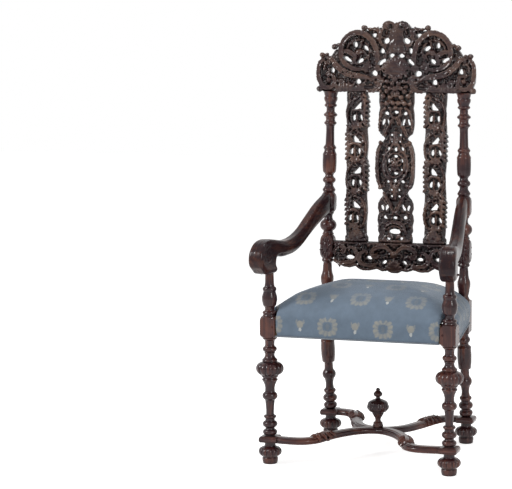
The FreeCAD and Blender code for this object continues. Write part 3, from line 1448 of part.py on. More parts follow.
def back_rail_tenon(name, side, slack):
    """One tenon of the back rail, or with slack its mortise."""
    depth = size.rail_tenon_depth + slack
    root = depth + size.overrun
    thick = size.splat_tongue_thickness + slack * 2
    height = size.back_rail_tenon_height + slack * 2
    tenon = doc.addObject("Part::Box", name)
    bind(tenon, Length=root, Width=thick, Height=height)
    near = back_rail_end() - float(size.overrun)
    left = near if side > 0 else -near - float(root)
    level = float(size.back_rail_top - size.rail_tenon_shoulder - size.back_rail_tenon_height) - float(slack)
    tenon.Placement = back_place() * FreeCAD.Placement(V(left, -float(thick) / 2, level), FreeCAD.Rotation())
    return tenon


def back_lower_rail(name):
    """Scalloped and pierced lower rail of the back."""
    half, height = back_rail_end(), float(size.back_rail_height)
    bottom = float(size.back_rail_top) - height
    thick, relief = float(size.back_rail_thickness), float(size.back_rail_relief)
    holes = openings(BACK_RAIL_OPENING_SHARES, half, height, bottom)
    raised = volutes(BACK_RAIL_VOLUTE_SHARES, half, height, bottom, -thick / 2, relief)
    raised += bosses(BACK_RAIL_BOSS_SHARES, half, height, bottom, -thick / 2)
    panel = pierced_panel(BACK_RAIL_SHARES, holes, raised, half, height, bottom, thick)
    panel = panel.cut(splat_grooves(False))
    body = feature(name + "_carving", panel, back_place())
    tenons = [back_rail_tenon(name + "_tenon_" + hand, side, size.joint_clearance * 0)
              for hand, side in SIDES.items()]
    whole = joined(name + "_whole", [body] + tenons)
    holes = [pin(name + "_pin_" + hand, "rail", side, size.joint_clearance) for hand, side in SIDES.items()]
    return less(name, whole, holes)


def pin(name, joint, side, slack):
    """A peg of the back or of an arm, or with slack its hole."""
    radius = size.peg_radius + slack
    turned = back_place()
    if joint == "crest":
        level = float(size.crest_bottom + size.crest_tenon_length / 2)
        start = V(side * post_x_at(level), float(size.crest_thickness) / 2, level)
        length = size.crest_thickness / 2 + size.crest_tenon_radius + slack
    elif joint == "rail":
        level = float(size.back_rail_top - size.rail_tenon_shoulder - size.back_rail_tenon_height / 2)
        start = V(side * (back_rail_end() + float(size.rail_tenon_depth) / 2),
                  float(size.rear_square) / 2, level)
        length = size.rear_square / 2 + size.splat_tongue_thickness + slack
    if joint in ("crest", "rail"):
        item = rod(name, radius, length, V(0, 0, 0), UP)
        item.Placement = turned * FreeCAD.Placement(start, FreeCAD.Rotation(UP, FORWARD))
        return item
    way = V(-side, 0, 0)
    if joint == "arm_rear":
        level = float(size.arm_block_bottom + size.arm_block_height / 2)
        front = arm_start() + float(size.arm_rear_tenon) / 2
        start = V(side * (arm_rear_x() + float(size.rear_square) / 2), front, level)
        return rod(name, radius, size.rear_square / 2 + size.rail_tenon_thickness + slack, start, way)
    start = V(side * (post_front_x() + float(size.arm_width) / 2), float(FRONT_Y),
              float(size.arm_underside + size.arm_tenon_length / 2))
    return rod(name, radius, size.arm_width / 2 + size.arm_tenon_radius + slack, start, way)


def peg_group(name, pegs):
    """All pegs of one kind of joint, as separate solids of one node."""
    group = doc.addObject("Part::Compound", name)
    group.Links = pegs
    return group


def seat_rail_pegs(name):
    none = size.joint_clearance * 0
    pegs = []
    for hand, side in SIDES.items():
        for rail, post in RAIL_ENDS:
            pegs.append(peg("%s_%s_%s_%s" % (name, rail, post, hand), rail, side, post, none))
    return peg_group(name, pegs)


def pin_group(name, joints):
    none = size.joint_clearance * 0
    return peg_group(name, [pin("%s_%s_%s" % (name, joint, hand), joint, side, none)
                            for joint in joints for hand, side in SIDES.items()])


def build():
    """Every piece of the chair, as a list of the nodes to keep."""
    nodes = []
    for hand, side in SIDES.items():
        nodes += [
            front_post("front_post_" + hand, side),
            rear_post("rear_post_" + hand, side),
            foot("foot_front_" + hand, side, FRONT_Y),
            foot("foot_rear_" + hand, side, REAR_FOOT_Y),
            arm("arm_" + hand, side),
            seat_rail_side("seat_rail_" + hand, side),
            corner_block("corner_block_front_" + hand, side, "front"),
            corner_block("corner_block_rear_" + hand, side, "rear"),
        ]
    nodes += [
        stretcher_diagonal("stretcher_diagonal_lower", -1, False),
        stretcher_diagonal("stretcher_diagonal_upper", 1, True),
        finial("finial"),
        seat_rail_across("seat_rail_front", "front"),
        seat_rail_across("seat_rail_rear", "rear"),
        crest_rail("crest_rail"),
        back_lower_rail("back_lower_rail"),
    ]
    nodes += [splat(name, hand) for name, hand in SPLATS.items()]
    nodes += [
        webbing("webbing_lengthwise", False),
        webbing("webbing_crosswise", True),
        base_cloth("base_cloth"),
        seat_stuffing("seat_stuffing"),
        seat_cover("seat_cover"),
        seat_welt("seat_welt"),
        seat_rail_pegs("seat_rail_pegs"),
        pin_group("back_rail_pegs", ["rail"]),
        pin_group("crest_pegs", ["crest"]),
        pin_group("arm_pegs", ["arm_rear", "arm_front"]),
    ]
    return nodes


def check(nodes):
    """Stops unless every object is sound and every node is a valid shape."""
    for item in doc.Objects:
        if "Invalid" in item.State or "Error" in item.State:
            raise RuntimeError("%s is %s" % (item.Label, item.State))
    for node in nodes:
        if node.Shape.isNull() or not node.Shape.isValid() or not node.Shape.Solids:
            raise RuntimeError(node.Label + " has no valid shape")


def main():
    nodes = build()
    doc.recompute()
    check(nodes)
    os.makedirs("parts", exist_ok=True)
    for node in nodes:
        node.Shape.exportStep(os.path.join("parts", node.Label + ".step"))


main()
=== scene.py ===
"""Dresses the carved open armchair: turned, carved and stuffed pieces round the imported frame.

Lengths in the tables are in millimetres and are turned into metres where they are used.
"""
import math
import random

import bmesh
import bpy
from mathutils import Matrix, Vector
from mathutils.kdtree import KDTree


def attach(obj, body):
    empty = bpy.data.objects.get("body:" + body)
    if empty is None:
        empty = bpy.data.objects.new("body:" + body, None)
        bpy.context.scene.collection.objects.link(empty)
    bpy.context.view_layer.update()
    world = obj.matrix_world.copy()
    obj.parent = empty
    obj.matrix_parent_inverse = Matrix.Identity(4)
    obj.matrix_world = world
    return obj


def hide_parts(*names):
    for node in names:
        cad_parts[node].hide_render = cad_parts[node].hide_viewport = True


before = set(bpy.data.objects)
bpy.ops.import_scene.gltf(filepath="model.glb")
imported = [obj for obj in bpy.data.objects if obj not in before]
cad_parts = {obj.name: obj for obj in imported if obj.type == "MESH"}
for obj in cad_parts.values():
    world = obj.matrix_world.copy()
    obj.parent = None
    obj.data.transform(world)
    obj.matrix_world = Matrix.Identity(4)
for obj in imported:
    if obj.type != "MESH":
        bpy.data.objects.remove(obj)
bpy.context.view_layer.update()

bl_info = {
    "name": "Carved Open Armchair",
    "version": (1, 0, 0),
    "blender": (4, 5, 0),
    "location": "View3D > Sidebar > Armchair",
    "description": "Models a tall carved armchair with turned posts and a damask seat",
    "category": "Add Mesh",
}

MM = 0.001
SIDES = {"left": -1, "right": 1}

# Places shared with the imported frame
FRONT_X, FRONT_Y = 276.7, -183.25
REAR_X, REAR_Y, REAR_FOOT_Y = 222.0, 215.75, 253.75
FOOT_TOP, PAD_TOP = 66.0, 84.0
FRONT_SQUARE, REAR_SQUARE = 47.0, 41.5
FRONT_BLOCK = (381.0, 448.0)
REAR_BLOCK = (358.0, 458.0)
RAIL_BLOCK = (568.0, 650.0)
ARM_BLOCK = (714.0, 783.0)
ARM_UNDERSIDE = 578.0
CREST_BOTTOM = 1095.0
SHAFT_BOTTOM = ARM_BLOCK[1] + (CREST_BOTTOM - ARM_BLOCK[1]) * 0.475
BACK_RAKE, POST_LEAN = 21.0, 8.0
BACK_SLOPE = BACK_RAKE / (CREST_BOTTOM - REAR_BLOCK[1])
SEAT_MIDDLE, SEAT_LENGTH = (FRONT_Y + REAR_Y) / 2, REAR_Y - FRONT_Y
STRETCHER_MIDDLE_Y = 26.51

# Turned stretches: share of the height, radius as a share of the square, bulge of the arc
# that arrives there
FRONT_LEG = [
    (0.0, 0.32, 0), (0.013, 0.32, 0), (0.067, 0.32, 0.85), (0.078, 0.29, 0), (0.09, 0.31, 0),
    (0.155, 0.31, 0.8), (0.168, 0.30, 0), (0.182, 0.32, 0), (0.185, 0.36, 0), (0.212, 0.36, 0.5),
    (0.215, 0.255, 0), (0.364, 0.315, -0.05), (0.372, 0.345, 0), (0.448, 0.33, 0.62),
    (0.461, 0.315, 0), (0.556, 0.44, -0.18), (0.562, 0.45, 0), (0.586, 0.45, 0.7),
    (0.596, 0.436, 0), (0.623, 0.553, 0.35), (0.751, 0.57, 0.8), (0.758, 0.45, 0),
    (0.785, 0.45, 0.5), (0.832, 0.302, -0.25), (0.845, 0.33, 0), (0.859, 0.32, 0.5),
    (0.912, 0.32, 0.8), (0.933, 0.298, 0), (0.96, 0.308, 0), (0.987, 0.426, -0.3), (1.0, 0.468, 0),
]
ARM_SUPPORT = [
    (0.0, 0.45, 0), (0.03, 0.404, 0), (0.10, 0.404, 0.5), (0.115, 0.308, 0),
    (0.14, 0.296, 0), (0.23, 0.41, -0.25), (0.27, 0.436, 0.1), (0.51, 0.415, 0.2),
    (0.54, 0.394, 0), (0.56, 0.40, 0), (0.64, 0.40, 0.35), (0.66, 0.319, 0),
    (0.83, 0.281, -0.05), (1.0, 0.266, 0),
]
REAR_LEG = [
    (0.0, 0.34, 0), (0.015, 0.36, 0), (0.077, 0.36, 0.75), (0.088, 0.33, 0), (0.098, 0.36, 0),
    (0.172, 0.36, 0.75), (0.186, 0.35, 0), (0.20, 0.375, 0), (0.204, 0.40, 0), (0.241, 0.40, 0.5),
    (0.248, 0.33, 0), (0.266, 0.315, 0), (0.339, 0.315, -0.1), (0.372, 0.375, 0),
    (0.474, 0.36, 0.45), (0.50, 0.335, 0), (0.569, 0.323, 0), (0.58, 0.48, 0),
    (0.817, 0.52, 0.05), (0.84, 0.48, 0.3), (0.854, 0.35, 0), (0.883, 0.345, 0),
    (0.949, 0.36, 0.55), (0.978, 0.35, 0), (1.0, 0.45, 0),
]
BACK_VASE = [
    (0.0, 0.46, 0), (0.05, 0.40, 0), (0.12, 0.34, -0.2), (0.30, 0.43, 0.08), (0.52, 0.48, 0.12),
    (0.80, 0.345, -0.12), (0.92, 0.316, -0.03), (0.94, 0.40, 0), (1.0, 0.43, 0.3),
]
BACK_BULB = [
    (0.0, 0.45, 0), (0.05, 0.375, 0), (0.14, 0.37, -0.2), (0.68, 0.37, 0.62),
    (0.90, 0.316, -0.2), (1.0, 0.42, -0.2),
]
BACK_BARREL = [
    (0.0, 0.45, 0), (0.06, 0.45, 0.4), (0.12, 0.316, 0), (0.16, 0.32, 0), (0.18, 0.36, 0),
    (0.30, 0.36, 0.62), (0.34, 0.30, 0), (0.38, 0.37, 0), (0.43, 0.50, 0.2),
    (0.75, 0.52, 0.04), (0.82, 0.47, 0.25), (0.86, 0.41, 0), (0.89, 0.42, 0),
    (0.96, 0.42, 0.5), (1.0, 0.335, 0),
]
BACK_SHAFT = [
    (0.0, 0.335, 0), (0.25, 0.307, 0), (0.34, 0.315, 0), (0.37, 0.38, 0), (0.43, 0.38, 0.75),
    (0.47, 0.335, 0), (0.515, 0.37, 0), (0.525, 0.42, 0), (0.585, 0.42, 0.8),
    (0.62, 0.31, 0), (0.685, 0.31, 0), (0.705, 0.38, 0), (0.765, 0.38, 0.75), (0.80, 0.42, 0),
    (0.885, 0.51, 0.2), (0.905, 0.45, 0), (0.94, 0.50, 0), (1.0, 0.61, -0.2),
]
FOOT = [
    (0.0, 0.54, 0), (0.05, 0.62, 0.4), (0.27, 0.66, 0.12), (0.30, 0.60, 0), (0.34, 0.62, 0),
    (0.76, 0.60, 0.94), (0.80, 0.48, 0), (0.95, 0.47, -0.1), (1.0, 0.52, 0),
]
FINIAL = [
    (0.0, 0.43, 0), (0.08, 0.43, 0.4), (0.12, 0.43, 0), (0.14, 0.32, 0), (0.20, 0.25, -0.2),
    (0.29, 0.41, -0.1), (0.39, 0.57, 0.1), (0.40, 0.72, 0), (0.44, 0.86, 0.3), (0.57, 0.96, 0.45),
    (0.67, 0.72, 0.3), (0.71, 0.42, 0), (0.75, 0.18, -0.3), (0.78, 0.20, 0),
    (0.87, 0.40, 0.5), (0.94, 0.16, 0), (0.985, 0.13, 0.6), (1.0, 0.0, 0.4),
]
FOOT_RADIUS, FINIAL_RADIUS, FINIAL_HEIGHT = 35.5, 33.3, 121.0


# ---- hands: small helpers that every operator uses ----

def select_only(*pieces):
    """Leaves only these pieces selected, the first one active."""
    if bpy.context.mode != "OBJECT":
        bpy.ops.object.mode_set(mode="OBJECT")
    bpy.ops.object.select_all(action="DESELECT")
    for piece in pieces:
        piece.select_set(True)
    bpy.context.view_layer.objects.active = pieces[0]
    return pieces[0]


def fresh(name=None):
    """The object that the last call made, under a name of its own."""
    piece = bpy.context.view_layer.objects.active
    if name:
        piece.name = piece.data.name = name
    return piece


def edit(piece):
    """Opens a piece in edit mode with everything selected."""
    select_only(piece)
    bpy.ops.object.mode_set(mode="EDIT")
    bpy.ops.mesh.select_mode(type="VERT")
    bpy.ops.mesh.select_all(action="SELECT")
    return piece


def tidy(piece, merge=1e-6):
    """Merges doubles and turns all faces outwards, back in object mode."""
    edit(piece)
    bpy.ops.mesh.remove_doubles(threshold=merge)
    bpy.ops.mesh.normals_make_consistent(inside=False)
    bpy.ops.object.mode_set(mode="OBJECT")
    return piece


def settled(piece):
    """Puts a piece's place into its mesh, so that its object sits at the origin."""
    select_only(piece)
    bpy.ops.object.transform_apply(location=True, rotation=True, scale=True)
    return piece


def smooth(piece, degrees=32):
    select_only(piece)
    bpy.ops.object.shade_smooth_by_angle(angle=math.radians(degrees))
    return piece


def finished(piece, kind, **settings):
    """Puts a modifier on a piece and applies it at once."""
    select_only(piece)
    modifier = piece.modifiers.new(kind.title(), kind)
    for name, value in settings.items():
        setattr(modifier, name, value)
    bpy.ops.object.modifier_apply(modifier=modifier.name)
    return piece


def cut(piece, tool, operation="DIFFERENCE", solver="EXACT"):
    """Cuts a piece with another one, which is then cleared away."""
    finished(piece, "BOOLEAN", object=tool, operation=operation, solver=solver)
    bpy.data.objects.remove(tool)
    return piece


def remeshed(piece, size):
    """Makes a piece's skin again, in even quads of a size."""
    return finished(piece, "REMESH", mode="VOXEL", voxel_size=size, adaptivity=0)


def united(name, pieces):
    """Joins pieces into the first one, under a new name."""
    select_only(*pieces)
    if len(pieces) > 1:
        bpy.ops.object.join()
    return fresh(name)


def copied(piece, name):
    """A copy of a piece with a mesh of its own."""
    select_only(piece)
    bpy.ops.object.duplicate()
    return fresh(name)


def mirrored(piece, name):
    """A copy mirrored from one side of the chair to the other."""
    twin = copied(piece, name)
    twin.scale.x = -1
    settled(twin)
    edit(twin)
    bpy.ops.mesh.normals_make_consistent(inside=False)
    bpy.ops.object.mode_set(mode="OBJECT")
    return twin


def moved(piece, matrix):
    """Carries a piece's mesh to a new place."""
    piece.matrix_world = matrix @ piece.matrix_world
    return settled(piece)


def standing(piece, x, y):
    """Puts a piece modelled about the upright axis at its place on the floor plan."""
    return moved(piece, Matrix.Translation((x * MM, y * MM, 0)))


def dressed(piece, finish, slot, *nodes):
    """Gives a piece its finish and its place on the chair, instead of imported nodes."""
    piece.data.materials.clear()
    piece.data.materials.append(finish)
    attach(piece, "root")
    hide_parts(*nodes)
    return piece


def box(low, high, width, x=0.0, y=0.0):
    """An upright square box between two heights."""
    bpy.ops.object.select_all(action="DESELECT")
    bpy.ops.mesh.primitive_cube_add(size=1, location=(x * MM, y * MM, (low + high) / 2 * MM),
                                    scale=(width * MM, width * MM, (high - low) * MM))
    return settled(fresh())


def polyline(curve, points, closed=False):
    """Adds a line through (x, y, z, radius) points to a curve."""
    spline = curve.splines.new("POLY")
    spline.points.add(len(points) - 1)
    for point, (x, y, z, radius) in zip(spline.points, points):
        point.co = (x * MM, y * MM, z * MM, 1)
        point.radius = radius
    spline.use_cyclic_u = closed


def strokes(name, lines):
    """One mesh of round strokes through (x, y, z, radius) points."""
    bpy.ops.object.select_all(action="DESELECT")
    bpy.ops.curve.primitive_nurbs_path_add(location=(0, 0, 0))
    curve = fresh().data
    curve.splines.clear()
    curve.bevel_depth, curve.bevel_resolution, curve.use_fill_caps = MM, 2, True
    for line in lines:
        polyline(curve, line)
    bpy.ops.object.convert(target="MESH")
    return fresh(name)


# ---- turning ----

def arc_points(start, end, bulge):
    """Points after the start along an arc whose height is the bulge share of half its chord."""
    (r0, z0), (r1, z1) = start, end
    chord = math.hypot(r1 - r0, z1 - z0)
    shortest, facet = 0.4, math.radians(13)
    if not bulge or chord < shortest:
        return [end]
    lift = bulge * chord / 2
    radius = (chord * chord / 4 + lift * lift) / (2 * abs(lift))
    half = math.asin(min(1.0, chord / 2 / radius))
    if abs(lift) > chord / 2:
        half = math.pi - half
    count = max(3, min(14, round(2 * half / facet)))
    along = Vector((r1 - r0, z1 - z0)) / chord
    side = Vector((along.y, -along.x)) * (1 if bulge > 0 else -1)
    middle = Vector(((r0 + r1) / 2, (z0 + z1) / 2)) + side * (abs(lift) - radius)
    points = []
    for number in range(1, count + 1):
        turn = -half + 2 * half * number / count
        spot = middle + side * (radius * math.cos(turn)) + along * (radius * math.sin(turn))
        points.append((max(0.0, spot.x), spot.y))
    return points


def stretch(shares, bottom, top, width):
    """Points (radius, height) of a turned stretch between two heights."""
    rows = [(radius * width, bottom + level * (top - bottom), bulge) for level, radius, bulge in shares]
    points = [rows[0][:2]]
    for row in rows[1:]:
        points += arc_points(points[-1], row[:2], row[2])
    return points


def eased(points, reach=0.45):
    """Takes the sharpness off a profile's corners, as a turner's glasspaper does."""
    eased_points = [points[0]]
    for before, here, after in zip(points, points[1:], points[2:]):
        back = Vector((before[0] - here[0], before[1] - here[1]))
        ahead = Vector((after[0] - here[0], after[1] - here[1]))
        if min(back.length, ahead.length) < 1e-6:
            continue
        if back.angle(ahead) > math.radians(150) or min(back.length, ahead.length) < reach * 1.5:
            eased_points.append(here)
            continue
        for way in (back, ahead):
            spot = Vector(here) + way.normalized() * reach
            eased_points.append((max(0.0, spot.x), spot.y))
    return eased_points + [points[-1]]


def turned(name, points, steps):
    """Turns a profile of (radius, height) points, bottom to top, about the upright axis."""
    bpy.ops.object.select_all(action="DESELECT")
    bpy.ops.mesh.primitive_plane_add(size=MM, location=(0, 0, 0))
    piece = edit(fresh(name))
    bpy.ops.mesh.merge(type="CENTER")
    here = Vector((0, 0, points[0][1] * MM))
    bpy.ops.transform.translate(value=here)
    for radius, height in [*points, (0.0, points[-1][1])]:
        there = Vector((radius * MM, 0, height * MM))
        if (there - here).length < 1e-7:
            continue
        bpy.ops.mesh.extrude_region_move(TRANSFORM_OT_translate={"value": there - here})
        here = there
    bpy.ops.mesh.select_all(action="SELECT")
    bpy.ops.mesh.spin(steps=steps, angle=math.tau, center=(0, 0, 0), axis=(0, 0, 1))
    return tidy(piece)


def gadrooned(piece, low, high, lobes, depth, sharp=0.55, fade=0.6):
    """Carves lobes round a swelling between two heights, with narrow quirks between them."""
    edit(piece)
    mesh = bmesh.from_edit_mesh(piece.data)
    for vert in mesh.verts:
        level = (vert.co.z / MM - low) / (high - low)
        reach = math.hypot(vert.co.x, vert.co.y)
        if not 0 < level < 1 or reach < 1e-6:
            continue
        turn = math.atan2(vert.co.y, vert.co.x)
        quirk = 1 - abs(math.sin(turn * lobes / 2)) ** sharp
        drawn = 1 - depth * MM * quirk * math.sin(math.pi * level) ** fade / reach
        vert.co.x *= drawn
        vert.co.y *= drawn
    bmesh.update_edit_mesh(piece.data)
    bpy.ops.object.mode_set(mode="OBJECT")
    return piece


def block(name, width, low, high, shoulder, neck=0.93, girth=1.46):
    """A square block whose corners the lathe has rounded off at both ends.

    Its neck and girth are the radii at its ends and between them, as shares of half its width.
    """
    cube = finished(box(low, high, width), "BEVEL", width=0.9 * MM, segments=2)
    end, corner, bulge = width / 2 * neck, width / 2 * girth, 0.3
    rows = [(end, low), *arc_points((end, low), (corner, low + shoulder), bulge), (corner, high - shoulder),
            *arc_points((corner, high - shoulder), (end, high), bulge)]
    cut(cube, turned(name + "_barrel", rows, 64), "INTERSECT")
    return united(name, [cube])


def back_matrix():
    """The leaning plane of the back, hinged at the top of the rear seat blocks."""
    rise = CREST_BOTTOM - REAR_BLOCK[1]
    hinge = Matrix.Translation((0, REAR_Y * MM, REAR_BLOCK[1] * MM))
    lean = Matrix.Rotation(-math.atan2(BACK_RAKE, rise), 4, "X")
    return hinge @ lean @ Matrix.Translation((0, 0, -REAR_BLOCK[1] * MM))


def axis_matrix(base, direction):
    """Stands an upright piece on a leaning axis; heights are still measured along it."""
    lean = Vector((0, 0, 1)).rotation_difference(Vector(direction)).to_matrix().to_4x4()
    return Matrix.Translation(Vector(base) * MM) @ lean @ Matrix.Translation((0, 0, -base[2] * MM))


# ---- finishes ----

class Tree:
    """Shorthand for wiring a material's nodes."""

    def __init__(self, name):
        self.material = bpy.data.materials.new(name)
        self.material.use_nodes = True
        self.tree = self.material.node_tree
        self.shader = self.tree.nodes["Principled BSDF"]
        self.place = self.tree.nodes.new("ShaderNodeTexCoord").outputs["Object"]

    def node(self, kind, links=None, **settings):
        """A node with settings, and links or values for its inputs by name or number."""
        made = self.tree.nodes.new("ShaderNode" + kind)
        for name, value in settings.items():
            setattr(made, name, value)
        for name, value in (links or {}).items():
            self.feed(made.inputs[name], value)
        return made

    def feed(self, socket, value):
        if isinstance(value, bpy.types.NodeSocket):
            self.tree.links.new(value, socket)
        else:
            socket.default_value = value

    def noise(self, scale, detail=4.0, rough=0.55, stretch=(1, 1, 1), source=None, twist=0.0):
        """Noise over the object's coordinates or another source, stretched."""
        place = self.node("Mapping", {"Vector": source or self.place, "Scale": stretch}).outputs[0]
        return self.node("TexNoise", {"Vector": place, "Scale": scale, "Detail": detail, "Roughness": rough,
                                      "Distortion": twist}).outputs["Fac"]

    def math(self, operation, *terms):
        return self.node("Math", dict(enumerate(terms)), operation=operation).outputs[0]

    def plus(self, first, second):
        return self.math("ADD", first, second)

    def minus(self, first, second):
        return self.math("SUBTRACT", first, second)

    def times(self, first, second):
        return self.math("MULTIPLY", first, second)

    def ramp(self, value, *stops):
        """A colour ramp of (place, colour or grey) stops."""
        made = self.node("ValToRGB", {0: value})
        items = made.color_ramp.elements
        while len(items) < len(stops):
            items.new(0.5)
        for item, (place, color) in zip(items, stops):
            item.position = place
            item.color = (color, color, color, 1) if isinstance(color, float) else (*color, 1)
        return made.outputs[0]

    def blend(self, amount, first, second):
        made = self.node("Mix", {0: amount}, data_type="RGBA")
        for socket, value in ((made.inputs[6], first), (made.inputs[7], second)):
            self.feed(socket, value if isinstance(value, bpy.types.NodeSocket) else (*value, 1))
        return made.outputs[2]

    def bump(self, height, strength, distance, below=None):
        made = self.node("Bump", {"Height": height, "Strength": strength, "Distance": distance})
        if below is not None:
            self.tree.links.new(below, made.inputs["Normal"])
        return made.outputs[0]

    def finish(self, **sockets):
        """Sets or links the shader's inputs, and gives the material."""
        for name, value in sockets.items():
            self.feed(self.shader.inputs[name.replace("_", " ")], value)
        return self.material


def shaded(color, by):
    """A colour made darker or lighter."""
    return tuple(value * by for value in color)


def walnut(name, dark, middle, worn, grain, roughness, coat, dust=0.0, edge=0.5, relief=None):
    """Old walnut: streaked grain, pores, red-brown wear on high parts, painted shade in hollows.

    The grain is the stretch of its streaks along x, y and z. The relief is the depth, in front
    of the back's leaning plane, at which carving is painted black as shade and at which it is rubbed.
    """
    wood = Tree(name)
    streaks = wood.noise(95.0, 5.0, 0.6, grain, twist=0.35)
    clouds = wood.noise(9.0, 3.0)
    figure = wood.math("MULTIPLY_ADD", clouds, 0.45, wood.times(streaks, 0.62))
    color = wood.ramp(figure, (0.34, dark), (0.52, middle), (0.72, worn))
    pointed = wood.node("NewGeometry").outputs["Pointiness"]
    high = wood.ramp(pointed, (0.49, 0.0), (0.58, 1.0))
    patchy = wood.times(wood.times(high, wood.ramp(clouds, (0.35, 0.25), (0.62, 1.0))), edge)
    color = wood.blend(patchy, color, worn)
    if relief:
        split = wood.node("SeparateXYZ", {0: wood.place}).outputs
        plane = wood.math("MULTIPLY_ADD", split[2], BACK_SLOPE, (REAR_Y - REAR_BLOCK[1] * BACK_SLOPE) * MM)
        depth = wood.node("MapRange", {0: wood.minus(plane, split[1]), 1: relief[0], 2: relief[1]},
                          interpolation_type="SMOOTHSTEP").outputs[0]
        flecks = wood.ramp(wood.noise(55.0, 3.0, 0.6), (0.36, 0.15), (0.62, 1.0))
        rubbed = wood.times(flecks, wood.ramp(clouds, (0.4, 0.08), (0.58, 0.9)))
        color = wood.blend(wood.times(depth, rubbed), color, worn)
        # Painted shade: the carving is darkened where it lies deep, near its ground.
        low = wood.times(wood.minus(1.0, depth), 0.45)
        color = wood.blend(low, color, shaded(dark, 0.5))
        # Pale grey on the sharpest carved ridges: partly rubbed wax, partly a painted highlight.
        ridge = wood.times(wood.ramp(pointed, (0.53, 0.0), (0.63, 0.75)),
                          wood.ramp(wood.noise(38.0, 3.0, 0.6), (0.42, 0.0), (0.62, 1.0)))
        color = wood.blend(ridge, color, (0.27, 0.21, 0.185))
    # Painted shade: the hollows that ambient occlusion finds are darkened towards near black, and made rougher.
    hollow = wood.node("AmbientOcclusion", {"Distance": 0.022 if relief else 0.014}, samples=6).outputs["AO"]
    painted_shade = wood.ramp(hollow, (0.25, 1.0), (0.85, 0.0))
    color = wood.blend(wood.times(painted_shade, 0.82), color, shaded(dark, 0.28))
    if dust:
        settled_dust = wood.times(wood.ramp(wood.noise(34.0, 5.0), (0.5, 0.0), (0.72, 1.0)), dust)
        color = wood.blend(settled_dust, color, (0.19, 0.17, 0.15))
    pores = wood.noise(620.0, 2.0, 0.6, grain)
    marks = wood.noise(70.0, 2.0)
    bumped = wood.bump(pores, 0.16, 0.0006)
    bumped = wood.bump(marks, 0.22, 0.0012, bumped)
    gloss = wood.plus(wood.times(clouds, 0.22), roughness - 0.11)
    gloss = wood.plus(gloss, wood.times(painted_shade, 0.3))
    return wood.finish(Base_Color=color, Roughness=gloss, Normal=bumped, Specular_IOR_Level=0.08,
                       Coat_Weight=coat, Coat_Roughness=0.15)


def color_of(name):
    return tuple(getattr(bpy.context.scene.armchair_finish, name))


class FinishSettings(bpy.types.PropertyGroup):
    walnut_dark: bpy.props.FloatVectorProperty(
        name="Walnut, dark", description="Darkest streaks of the walnut", subtype="COLOR",
        size=3, min=0, max=1, default=(0.008, 0.0032, 0.0065))
    walnut_middle: bpy.props.FloatVectorProperty(
        name="Walnut, body", description="Main colour of the walnut", subtype="COLOR",
        size=3, min=0, max=1, default=(0.025, 0.0078, 0.0105))
    walnut_worn: bpy.props.FloatVectorProperty(
        name="Walnut, worn", description="Red-brown where the finish is rubbed", subtype="COLOR",
        size=3, min=0, max=1, default=(0.13, 0.043, 0.027))
    carving_worn: bpy.props.FloatVectorProperty(
        name="Carving, worn", description="Drier brown of the rubbed carving", subtype="COLOR",
        size=3, min=0, max=1, default=(0.125, 0.064, 0.044))
    damask_blue: bpy.props.FloatVectorProperty(
        name="Damask ground", description="Dusty blue of the seat cover", subtype="COLOR",
        size=3, min=0, max=1, default=(0.115, 0.155, 0.205))
    damask_gold: bpy.props.FloatVectorProperty(
        name="Damask figure", description="Faded gold of the woven medallions", subtype="COLOR",
        size=3, min=0, max=1, default=(0.285, 0.27, 0.225))


FINISHES = {}


def walnut_of(kind):
    """The wood of one kind of piece; what is used once is made once."""
    if kind in FINISHES:
        return FINISHES[kind]
    dark, middle, rubbed, dry = (color_of(name) for name in (
        "walnut_dark", "walnut_middle", "walnut_worn", "carving_worn"))
    pale = (0.12, 0.075, 0.042), (0.24, 0.16, 0.095), (0.33, 0.24, 0.15)
    looks = {
        "turned": ("turned walnut", dark, middle, rubbed, (1, 1, 0.07), 0.3, 0.48),
        "arm": ("arm walnut", dark, shaded(middle, 0.6), shaded(rubbed, 0.55), (1, 0.09, 1), 0.34, 0.26),
        "stretcher": ("stretcher walnut", dark, middle, rubbed, (0.12, 0.12, 1), 0.3, 0.5, 0.05),
        "crest": ("crest walnut", dark, middle, shaded(dry, 0.72), (0.12, 1, 1), 0.26, 0.6, 0.06, 0.5,
                  (0.006, 0.022)),
        "splat": ("splat walnut", dark, middle, dry, (1, 1, 0.12), 0.25, 0.7, 0.08, 0.6, (0.004, 0.018)),
        "frame": ("frame wood", *pale, (0.1, 1, 1), 0.68, 0.0, 0.0, 0.2),
        "peg": ("peg wood", dark, middle, rubbed, (1, 1, 1), 0.42, 0.1, 0.0, 0.3),
    }
    FINISHES[kind] = walnut(*looks[kind])
    return FINISHES[kind]


class TurningSettings(bpy.types.PropertyGroup):
    steps: bpy.props.IntProperty(
        name="Steps", description="Facets round each turning", default=96, min=24, max=192)
    gadroon_depth: bpy.props.FloatProperty(
        name="Gadroon depth", description="Depth of the cuts between the lobes of cups and feet",
        subtype="DISTANCE", unit="LENGTH", default=0.0032, min=0, max=0.01)


